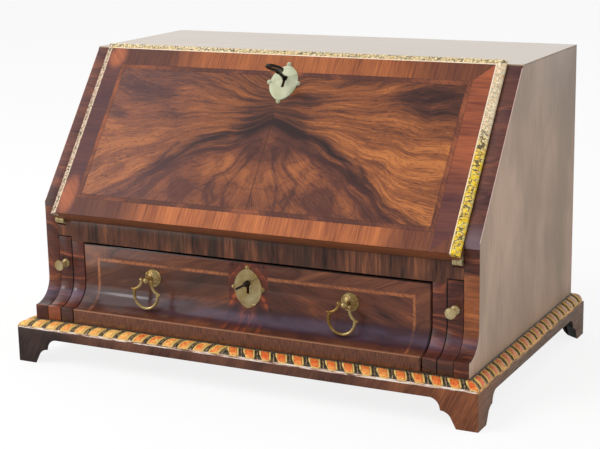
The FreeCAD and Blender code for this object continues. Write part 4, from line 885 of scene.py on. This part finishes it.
def strip_of(name, points, length, lean=0):
    """A strip along X of the section (across, up), drawn edge by edge on a plane that leans by an angle."""
    bpy.ops.mesh.primitive_plane_add(size=MM, location=(0, 0, 0))
    obj = bpy.context.active_object
    obj.name = name
    in_edit(obj)
    bpy.ops.mesh.merge(type="CENTER")
    here = (0, 0)
    for index, point in enumerate(points):
        across, up = (point[0] - here[0]) * MM, (point[1] - here[1]) * MM
        step = (-across * math.tan(lean), across, up)
        if index:
            bpy.ops.mesh.extrude_region_move(TRANSFORM_OT_translate={"value": step})
        else:
            bpy.ops.transform.translate(value=step)
        here = point
    bpy.ops.mesh.select_all(action="SELECT")
    bpy.ops.mesh.edge_face_add()
    bpy.ops.mesh.extrude_region_move(TRANSFORM_OT_translate={"value": (length * MM, 0, 0)})
    done()
    outward(obj)
    return obj


# A lobe's edges are rounded only above this height, so that its foot stays square
CROWN = 1.7
GROOVE_WIDTH = 0.32
CREST_RISE = 0.1


def lobe(points, width, lean, round_off, crest, rise, names, corner=0):
    """A rounded block of the section, centred along X, whose raised crest may have a groove round it."""
    obj = strip_of("lobe", points, width, lean)
    middle = sum(point[0] for point in points) / len(points)
    obj.location.x = (middle * math.tan(lean) - width / 2) * MM
    settle(obj)
    painted(obj, *names)

    def across(edge):
        start, end = [obj.data.vertices[index].co for index in edge.vertices]
        return min(start.z, end.z) > CROWN * MM and abs((end - start).normalized().x) < 0.85

    def uppermost(face):
        return face.normal.z > 0.25 and abs(face.normal.x) < 0.1 and face.area > width * MM * 0.5 * MM

    chosen(obj, "VERT", obj.data.edges, across)
    bpy.ops.mesh.select_mode(type="EDGE")
    bpy.ops.mesh.bevel(offset=round_off * MM, segments=2, affect="EDGES", clamp_overlap=True)
    done()
    chosen(obj, "FACE", obj.data.polygons, uppermost)
    bpy.ops.mesh.inset(thickness=crest * MM, depth=rise * MM)
    for index in range(1, len(names)):
        if index > 1:
            bpy.ops.mesh.inset(thickness=GROOVE_WIDTH * MM, depth=0, use_even_offset=False)
            bpy.ops.transform.translate(value=(0, 0, CREST_RISE * MM))
        obj.active_material_index = index
        bpy.ops.object.material_slot_assign()
    done()
    outer = max(point[0] for point in points)
    shift = (middle - outer) * math.tan(lean)
    for hand in (-1, 1) if corner else ():
        trimmed(obj, (shift + hand * width / 2, outer - corner, 0), (hand, 1, 0))
    return obj


def spaced(length, pitch, margin=0):
    """Even places along a length, centred in it."""
    count = int((length - margin) / pitch) + 1
    start = (length - (count - 1) * pitch) / 2
    return [start + index * pitch for index in range(count)]


def carved_run(node, section, ground, length, units, places, place, cuts, reach, seat=Matrix()):
    """A plain core with copies of carved units along it, trimmed near its ends, in place of a node."""
    core = strip_of("core", section, length)
    painted(core, ground)
    pieces, ends = [core], [core]
    for kind, along in places:
        pieces.append(copied(units[kind], "unit", moved(along)))
        if not reach < along < length - reach:
            ends.append(pieces[-1])
    for piece in pieces:
        piece.matrix_world = place
        settle(piece)
        outward(piece)
    for piece in ends:
        for point, normal in cuts:
            trimmed(piece, point, normal)
    for unit in units.values():
        pick(unit)
        bpy.ops.object.delete()
    strip = joined(pieces, node + "_carved")
    strip.matrix_world = seat
    settle(strip)
    smoothed(strip, 45)
    stand_for(strip, node)


# Settings

class WRITINGBOX_PG_finish(bpy.types.PropertyGroup):
    """Colours and edges of the box."""

    arris: bpy.props.FloatProperty(
        name="Arris", description="Rounding of the boards' edges",
        default=0.00045, min=0.0, max=0.001, precision=5, subtype="DISTANCE", unit="LENGTH")
    brass_dark: bpy.props.FloatVectorProperty(
        name="Brass, dull", description="Colour of the brass where it is dull",
        default=tint(200, 166, 104), size=4, min=0.0, max=1.0, subtype="COLOR")
    brass_light: bpy.props.FloatVectorProperty(
        name="Brass, bright", description="Colour of the brass where it is rubbed",
        default=tint(250, 230, 176), size=4, min=0.0, max=1.0, subtype="COLOR")
    gold: bpy.props.FloatVectorProperty(
        name="Gold", description="Colour of the gilding on the lobes' rims",
        default=(0.7216, 0.4706, 0.1412, 1.0), size=4, min=0.0, max=1.0, subtype="COLOR")
    clay: bpy.props.FloatVectorProperty(
        name="Clay", description="Colour of the clay rubbed through on the crests",
        default=tint(220, 92, 44), size=4, min=0.0, max=1.0, subtype="COLOR")
    top_tone: bpy.props.FloatVectorProperty(
        name="Top", description="Middle tone of the faded top",
        default=tint(162, 139, 110), size=4, min=0.0, max=1.0, subtype="COLOR")
    leather: bpy.props.FloatVectorProperty(
        name="Leather", description="Colour of the writing surface's lining",
        default=tint(74, 44, 32), size=4, min=0.0, max=1.0, subtype="COLOR")


class WRITINGBOX_PG_carving(bpy.types.PropertyGroup):
    """Sizes of the carved mouldings."""

    base_pitch: bpy.props.FloatProperty(
        name="Base pitch", description="Spacing of the base moulding's lobes",
        default=0.0169, min=0.008, max=0.03, precision=4, subtype="DISTANCE", unit="LENGTH")
    fall_pitch: bpy.props.FloatProperty(
        name="Fall pitch", description="Spacing of the fall moulding's leaves",
        default=0.0076, min=0.004, max=0.012, precision=4, subtype="DISTANCE", unit="LENGTH")


class WRITINGBOX_PG_stage(bpy.types.PropertyGroup):
    """Light around the box."""

    key_power: bpy.props.FloatProperty(
        name="Key light", description="Power of the large soft lamp, in watts",
        default=34.0, min=0.0, subtype="POWER", unit="POWER")
    glint_power: bpy.props.FloatProperty(
        name="Glint light", description="Power of the small lamp that shows in the polish, in watts",
        default=3.0, min=0.0, subtype="POWER", unit="POWER")
    sky: bpy.props.FloatProperty(
        name="Sky", description="Strength of the light from all round", default=0.6, min=0.0, max=2.0)
    front_sheen: bpy.props.FloatProperty(
        name="Front sheen", description="How bright the room in front shows in the polish",
        default=0.2, min=0.0, max=1.0, subtype="FACTOR")
    floor_white: bpy.props.FloatProperty(
        name="Floor white", description="How far the floor is lifted to plain white",
        default=0.84, min=0.0, max=1.0, subtype="FACTOR")


# Operators

class WRITINGBOX_OT_finishes(bpy.types.Operator):
    """Give every material slot its finish"""

    bl_idname = "writingbox.finishes"
    bl_label = "Finishes"

    def execute(self, context):
        """Builds the materials and puts them on the nodes' slots."""
        made = {}
        for build in FINISHES:
            finish = Finish(build.__name__, context.scene.writingbox_finish)
            finish.set("Base Color", build(finish))
            made[build.__name__] = finish.material
        for node in frame["nodes"].values():
            for index, old in enumerate(node.data.materials):
                node.data.materials[index] = made.get(old.name.split(".")[0], old)
        return {"FINISHED"}


EASED_BOARDS = {
    "side_walnut": ("side_left", "side_right"),
    "front_walnut": ("front_rail", "partition_left", "partition_right", "loper_left", "loper_right"),
    "drawer_walnut": ("drawer_front",),
    "plinth_walnut": ("plinth_front", "plinth_left", "plinth_right"),
    "inner_walnut": ("fall_board", "nest_dividers", "nest_shelf"),
    "oak": ("drawer_box",),
}


class WRITINGBOX_OT_boards(bpy.types.Operator):
    """Ease the edges of the boards that show"""

    bl_idname = "writingbox.boards"
    bl_label = "Boards"

    def execute(self, context):
        """Rounds each board's arrises on a copy of its node."""
        for slot, nodes in EASED_BOARDS.items():
            for node in nodes:
                obj = node_copy(node, node + "_eased")
                ease = obj.modifiers.new("ease", "BEVEL")
                ease.width = context.scene.writingbox_finish.arris
                ease.segments = 2
                ease.limit_method = "ANGLE"
                ease.angle_limit = math.radians(40)
                bpy.ops.object.modifier_apply(modifier="ease")
                smoothed(obj, 40)
                stand_for(obj, node)
        return {"FINISHED"}


# Sections of the carving, across from the box's face and up from the plinth or the lip
BASE_CORE = ((0, 0), (13.8, 0), (13.8, 1.3), (12.8, 1.7), (11.2, 3), (9, 4.4), (6, 5.3), (2, 5.8), (1.2, 6.9),
             (0, 7))
BASE_LOBE = ((1.3, 2), (12.6, 1), (13.5, 1.8), (12.9, 2.9), (11.5, 4.3), (9.3, 5.6), (6.6, 6.45), (3.6, 6.8),
             (1.6, 6.8))
BASE_RIB = ((1.3, 2), (12.4, 1), (12.9, 1.9), (11, 3.8), (8.8, 5), (6.2, 5.9), (3.6, 6.3), (1.6, 6.5))
FALL_CORE = ((0, 0), (8, 0), (8, 3.2), (7.6, 3.5), (4.6, 5.6), (1.4, 6.7), (1.2, 7.35), (0.2, 7.4), (0, 7.2))
FALL_LEAF = ((1.5, 4), (7.2, 2), (7.8, 3.2), (7.4, 4), (6.2, 5.3), (4.6, 6.3), (3, 6.9), (1.6, 7.1))

# The lean of a unit, then its width, rounding and cut corner
LEFT_LOBE = (math.radians(19), 11.3, 1.7, 0)
RIGHT_LOBE = (math.radians(-28), 12, 1.2, 3)
SIDE_LOBE = (math.radians(38), 11.4, 1.3, 0)
RIB_WIDTH = 1.1
FALL_LEAN = math.radians(32)
# Turn and reach of the cuts that round the rear corners
REAR_CUTS = ((20, 2.2), (45, 3.6), (70, 2.2))

FLIP = Matrix.Scale(-1, 4, (0, 1, 0))
QUARTER = Matrix.Rotation(math.radians(90), 4, "Z")


class WRITINGBOX_OT_base_moulding(bpy.types.Operator):
    """Carve the moulding over the plinth"""

    bl_idname = "writingbox.base_moulding"
    bl_label = "Base moulding"

    def unit(self, pitch, lean, width, round_off, corner):
        """One leaning lobe with its rubbed crest, and the rib beside it."""
        names = ("gilt_rim", "gilt_groove", "gilt_clay")
        body = lobe(BASE_LOBE, width, lean, round_off, 1.1, 0.1, names, corner)
        rib = lobe(BASE_RIB, RIB_WIDTH, lean, 0.3, 0.1, 0.05, ("gilt_rib",))
        rib.location.x = pitch / 2 * MM
        settle(rib)
        return joined([body, rib], "unit")

    def side_cuts(self, hand):
        """The mitre at the front of a side, the rounded rear corner and the end."""
        cuts = [((hand * HALF_WIDTH, FILLET_Y, 0), (-hand, -1, 0))]
        for turn, reach in REAR_CUTS:
            across, back = math.cos(math.radians(turn)), math.sin(math.radians(turn))
            corner = (hand * (PLINTH_X - reach * across), BACK_Y - reach * back, 0)
            cuts.append((corner, (hand * across, back, 0)))
        return cuts + [((0, BACK_Y, 0), (0, 1, 0))]

    def execute(self, context):
        """Lays leaning lobes and ribs over a plain core on the front and both sides."""
        pitch = context.scene.writingbox_carving.base_pitch / MM
        reach = 2.2 * pitch
        length = 2 * PLINTH_X
        units = {"left": self.unit(pitch, *LEFT_LOBE), "right": self.unit(pitch, *RIGHT_LOBE)}
        places = [("left" if spot < PLINTH_X - 4 else "right", spot) for spot in spaced(length, pitch)]
        place = moved(-PLINTH_X, FILLET_Y, PLINTH_HEIGHT) @ FLIP
        cuts = [((hand * HALF_WIDTH, FILLET_Y, 0), (hand, 1, 0)) for hand in (1, -1)]
        carved_run("base_moulding_front", BASE_CORE, "gilt_ground", length, units, places, place, cuts, reach)
        length = BACK_Y - PLINTH_FRONT_Y
        for name, hand, turn in (("right", 1, QUARTER @ FLIP), ("left", -1, QUARTER)):
            units = {"side": self.unit(pitch, *SIDE_LOBE)}
            places = [("side", spot) for spot in spaced(length, pitch)]
            place = moved(hand * HALF_WIDTH, PLINTH_FRONT_Y, PLINTH_HEIGHT) @ turn
            carved_run("base_moulding_" + name, BASE_CORE, "gilt_ground", length, units, places, place,
                       self.side_cuts(hand), reach)
        return {"FINISHED"}


class WRITINGBOX_OT_fall_moulding(bpy.types.Operator):
    """Carve the moulding round the fall"""

    bl_idname = "writingbox.fall_moulding"
    bl_label = "Fall moulding"

    def unit(self, pitch):
        """A broad leaf with a slim one beside it."""
        broad = lobe(FALL_LEAF, pitch * 0.5, FALL_LEAN, 0.7, 0.6, 0.1, ("fall_gilt",))
        slim = lobe(FALL_LEAF, pitch * 0.26, FALL_LEAN, 0.4, 0.3, 0.1, ("fall_gilt",))
        slim.location.x = pitch * 0.49 * MM
        settle(slim)
        return joined([broad, slim], "unit")

    def execute(self, context):
        """Lays a twist of leaves over a plain core on three sides of the fall."""
        pitch = context.scene.writingbox_carving.fall_pitch / MM
        seat = moved(0, HINGE_Y, HINGE_Z) @ Matrix.Rotation(SLOPE, 4, "X")
        right = moved(FIELD_EDGE_X, 0, LIP_UNDERSIDE) @ QUARTER @ FLIP
        left = moved(-FIELD_EDGE_X, 0, LIP_UNDERSIDE) @ QUARTER
        top = moved(-FALL_X, FIELD_TOP, LIP_UNDERSIDE)
        corners = {hand: (hand * FIELD_EDGE_X, FIELD_TOP, 0) for hand in (1, -1)}
        sides = {hand: [(corners[hand], (-hand, 1, 0)), ((0, 0, 0), (0, -1, 0))] for hand in corners}
        mitres = [(corners[hand], (hand, -1, 0)) for hand in corners]
        runs = (("right", FALL_TOP, right, sides[1]), ("left", FALL_TOP, left, sides[-1]),
                ("top", 2 * FALL_X, top, mitres))
        for name, length, place, cuts in runs:
            places = [("leaf", spot) for spot in spaced(length, pitch, 8)]
            carved_run("fall_moulding_" + name, FALL_CORE, "fall_gilt", length, {"leaf": self.unit(pitch)},
                       places, place, cuts, 2.5 * pitch, seat)
        return {"FINISHED"}


POLISHED = {
    "brass": ("bail_left", "bail_right", "handle_roses", "handle_posts", "loper_knob_left",
              "loper_knob_right", "inner_knob_left", "inner_knob_right", "drawer_escutcheon",
              "drawer_escutcheon_studs", "fall_hinges", "case_hinges"),
    "pale_brass": ("fall_escutcheon", "fall_escutcheon_studs"),
    "dark_steel": ("fall_key", "drawer_key"),
}
CAST = ("bail_left", "bail_right", "handle_roses", "handle_posts", "drawer_escutcheon_studs")


class WRITINGBOX_OT_fittings(bpy.types.Operator):
    """Polish the brass and steel that shows"""

    bl_idname = "writingbox.fittings"
    bl_label = "Fittings"

    def execute(self, context):
        """Gives each fitting a smooth whole surface in place of its node's facets."""
        for slot, nodes in POLISHED.items():
            for node in nodes:
                obj = node_copy(node, node + "_polished")
                smoothed(obj, 38)
                if node in CAST:
                    painted(obj, "cast_brass")
                stand_for(obj, node)
        return {"FINISHED"}


CAMERA_PLACE = Vector((0.6695, -1.30825, 0.4779))
CAMERA_YAW = -0.475568
CAMERA_PITCH = 0.233681
CAMERA_ROLL = -0.0193919
CAMERA_LENS = 90.57
LAMPS_AIM = Vector((0, 0, 0.12))


class WRITINGBOX_OT_stage(bpy.types.Operator):
    """Set the floor, light and camera"""

    bl_idname = "writingbox.stage"
    bl_label = "Stage"

    def execute(self, context):
        """Lays a pale floor under soft light and points the camera."""
        settings = context.scene.writingbox_stage
        self.floor(settings)
        self.surround(context.scene, settings)
        self.lamp("key_lamp", (-1.1, -1.3, 1.9), 1.6, settings.key_power, False)
        self.lamp("brass_lamp", (-1.5, -1.1, 0.75), 0.3, settings.glint_power * 0.35, True)
        self.lamp("glint_lamp", (-1.15, 0.85, 1.55), 0.5, settings.glint_power, True)
        self.aim(context)
        context.scene.view_settings.view_transform = "Standard"
        return {"FINISHED"}

    def floor(self, settings):
        """A pale floor that looks nearly white and keeps the box's shadow."""
        bpy.ops.mesh.primitive_circle_add(vertices=96, radius=6.0, fill_type="NGON", location=(0, 0, 0))
        floor = bpy.context.active_object
        floor.name = "floor"
        paper = Finish("floor_paper")
        paper.set("Base Color", (0.92, 0.92, 0.92, 1))
        paper.set("Roughness", 0.9)
        paper.set("Specular IOR Level", 0)
        seen, mirrored = paper.node("ShaderNodeLightPath", {}, {}, "Is Camera Ray", "Is Glossy Ray")
        strength = mirrored * (settings.front_sheen - 1) + 1
        glow = paper.node("ShaderNodeEmission", {}, {"Color": (1, 1, 1, 1), "Strength": strength})
        share = (seen * settings.floor_white).high(mirrored)
        matt = Socket(paper, paper.shader.outputs[0])
        both = paper.node("ShaderNodeMixShader", {}, {0: share, 1: matt, 2: glow})
        paper.ends("ShaderNodeOutputMaterial", both)
        painted(floor, "floor_paper")

    def surround(self, scene, settings):
        """A white surround that lights softly and is mirrored brightly only from behind and from the left."""
        scene.world = bpy.data.worlds.new("surround")
        scene.world.use_nodes = True
        graph = Graph(scene.world.node_tree)
        seen, mirrored = graph.node("ShaderNodeLightPath", {}, {}, "Is Camera Ray", "Is Glossy Ray")
        x, y, _ = graph.parts(graph.node("ShaderNodeTexCoord", {}, {}, "Generated"))
        behind = y.rise(0, 0.6)
        left = (-x).rise(0.38, 0.75)
        sheen = behind.high(left * 0.9) * (1 - settings.front_sheen) + settings.front_sheen
        level = sheen * mirrored + (1 - mirrored) * (x.rise(0, 0.9) * 0.5 + 1) * settings.sky
        level = level * (1 - seen) + seen
        sky = graph.node("ShaderNodeBackground", {}, {"Color": (1, 1, 1, 1), "Strength": level})
        graph.ends("ShaderNodeOutputWorld", sky)

    def lamp(self, name, place, size, power, mirrored):
        """A round soft lamp turned to the box."""
        bpy.ops.object.light_add(type="AREA", location=place)
        lamp = bpy.context.active_object
        lamp.name = name
        lamp.data.shape = "DISK"
        lamp.data.size = size
        lamp.data.energy = power
        lamp.visible_glossy = mirrored
        lamp.rotation_euler = (LAMPS_AIM - lamp.location).to_track_quat("-Z", "Y").to_euler()

    def aim(self, context):
        """The camera at the height and turn of a standing viewer."""
        level = math.cos(CAMERA_PITCH)
        ahead = Vector((math.sin(CAMERA_YAW) * level, math.cos(CAMERA_YAW) * level, -math.sin(CAMERA_PITCH)))
        right = Vector((math.cos(CAMERA_YAW), -math.sin(CAMERA_YAW), 0))
        up = right.cross(ahead)
        across = right * math.cos(CAMERA_ROLL) + up * math.sin(CAMERA_ROLL)
        above = up * math.cos(CAMERA_ROLL) - right * math.sin(CAMERA_ROLL)
        bpy.ops.object.camera_add(location=CAMERA_PLACE)
        camera = context.active_object
        camera.name = "viewer"
        camera.data.lens = CAMERA_LENS
        camera.data.sensor_width = 36
        camera.rotation_euler = Matrix((across, above, -ahead)).transposed().to_euler()
        context.scene.camera = camera


STEPS = (
    ("writingbox_finish", ("writingbox.finishes", "writingbox.boards")),
    ("writingbox_carving", ("writingbox.base_moulding", "writingbox.fall_moulding", "writingbox.fittings")),
    ("writingbox_stage", ("writingbox.stage",)),
)


class WRITINGBOX_PT_panel(bpy.types.Panel):
    """Steps and sizes of the writing box"""

    bl_label = "Writing Box"
    bl_idname = "WRITINGBOX_PT_panel"
    bl_space_type = "VIEW_3D"
    bl_region_type = "UI"
    bl_category = "Writing Box"

    def draw(self, context):
        """Lists each group of settings above its operators."""
        for group, steps in STEPS:
            settings = getattr(context.scene, group)
            for name in settings.__annotations__:
                self.layout.prop(settings, name)
            for step in steps:
                self.layout.operator(step)


GROUPS = {
    "writingbox_finish": WRITINGBOX_PG_finish,
    "writingbox_carving": WRITINGBOX_PG_carving,
    "writingbox_stage": WRITINGBOX_PG_stage,
}

CLASSES = (
    *GROUPS.values(), WRITINGBOX_OT_finishes, WRITINGBOX_OT_boards, WRITINGBOX_OT_base_moulding,
    WRITINGBOX_OT_fall_moulding, WRITINGBOX_OT_fittings, WRITINGBOX_OT_stage, WRITINGBOX_PT_panel,
)


def register():
    """Adds the classes and their settings."""
    for item in CLASSES:
        bpy.utils.register_class(item)
    for name, group in GROUPS.items():
        setattr(bpy.types.Scene, name, bpy.props.PointerProperty(type=group))


def unregister():
    """Takes the settings and classes away again."""
    for name in GROUPS:
        delattr(bpy.types.Scene, name)
    for item in reversed(CLASSES):
        bpy.utils.unregister_class(item)


def main():
    """Runs every step."""
    register()
    for _, steps in STEPS:
        for step in steps:
            group, name = step.split(".")
            getattr(getattr(bpy.ops, group), name)()


if __name__ == "__main__":
    main()
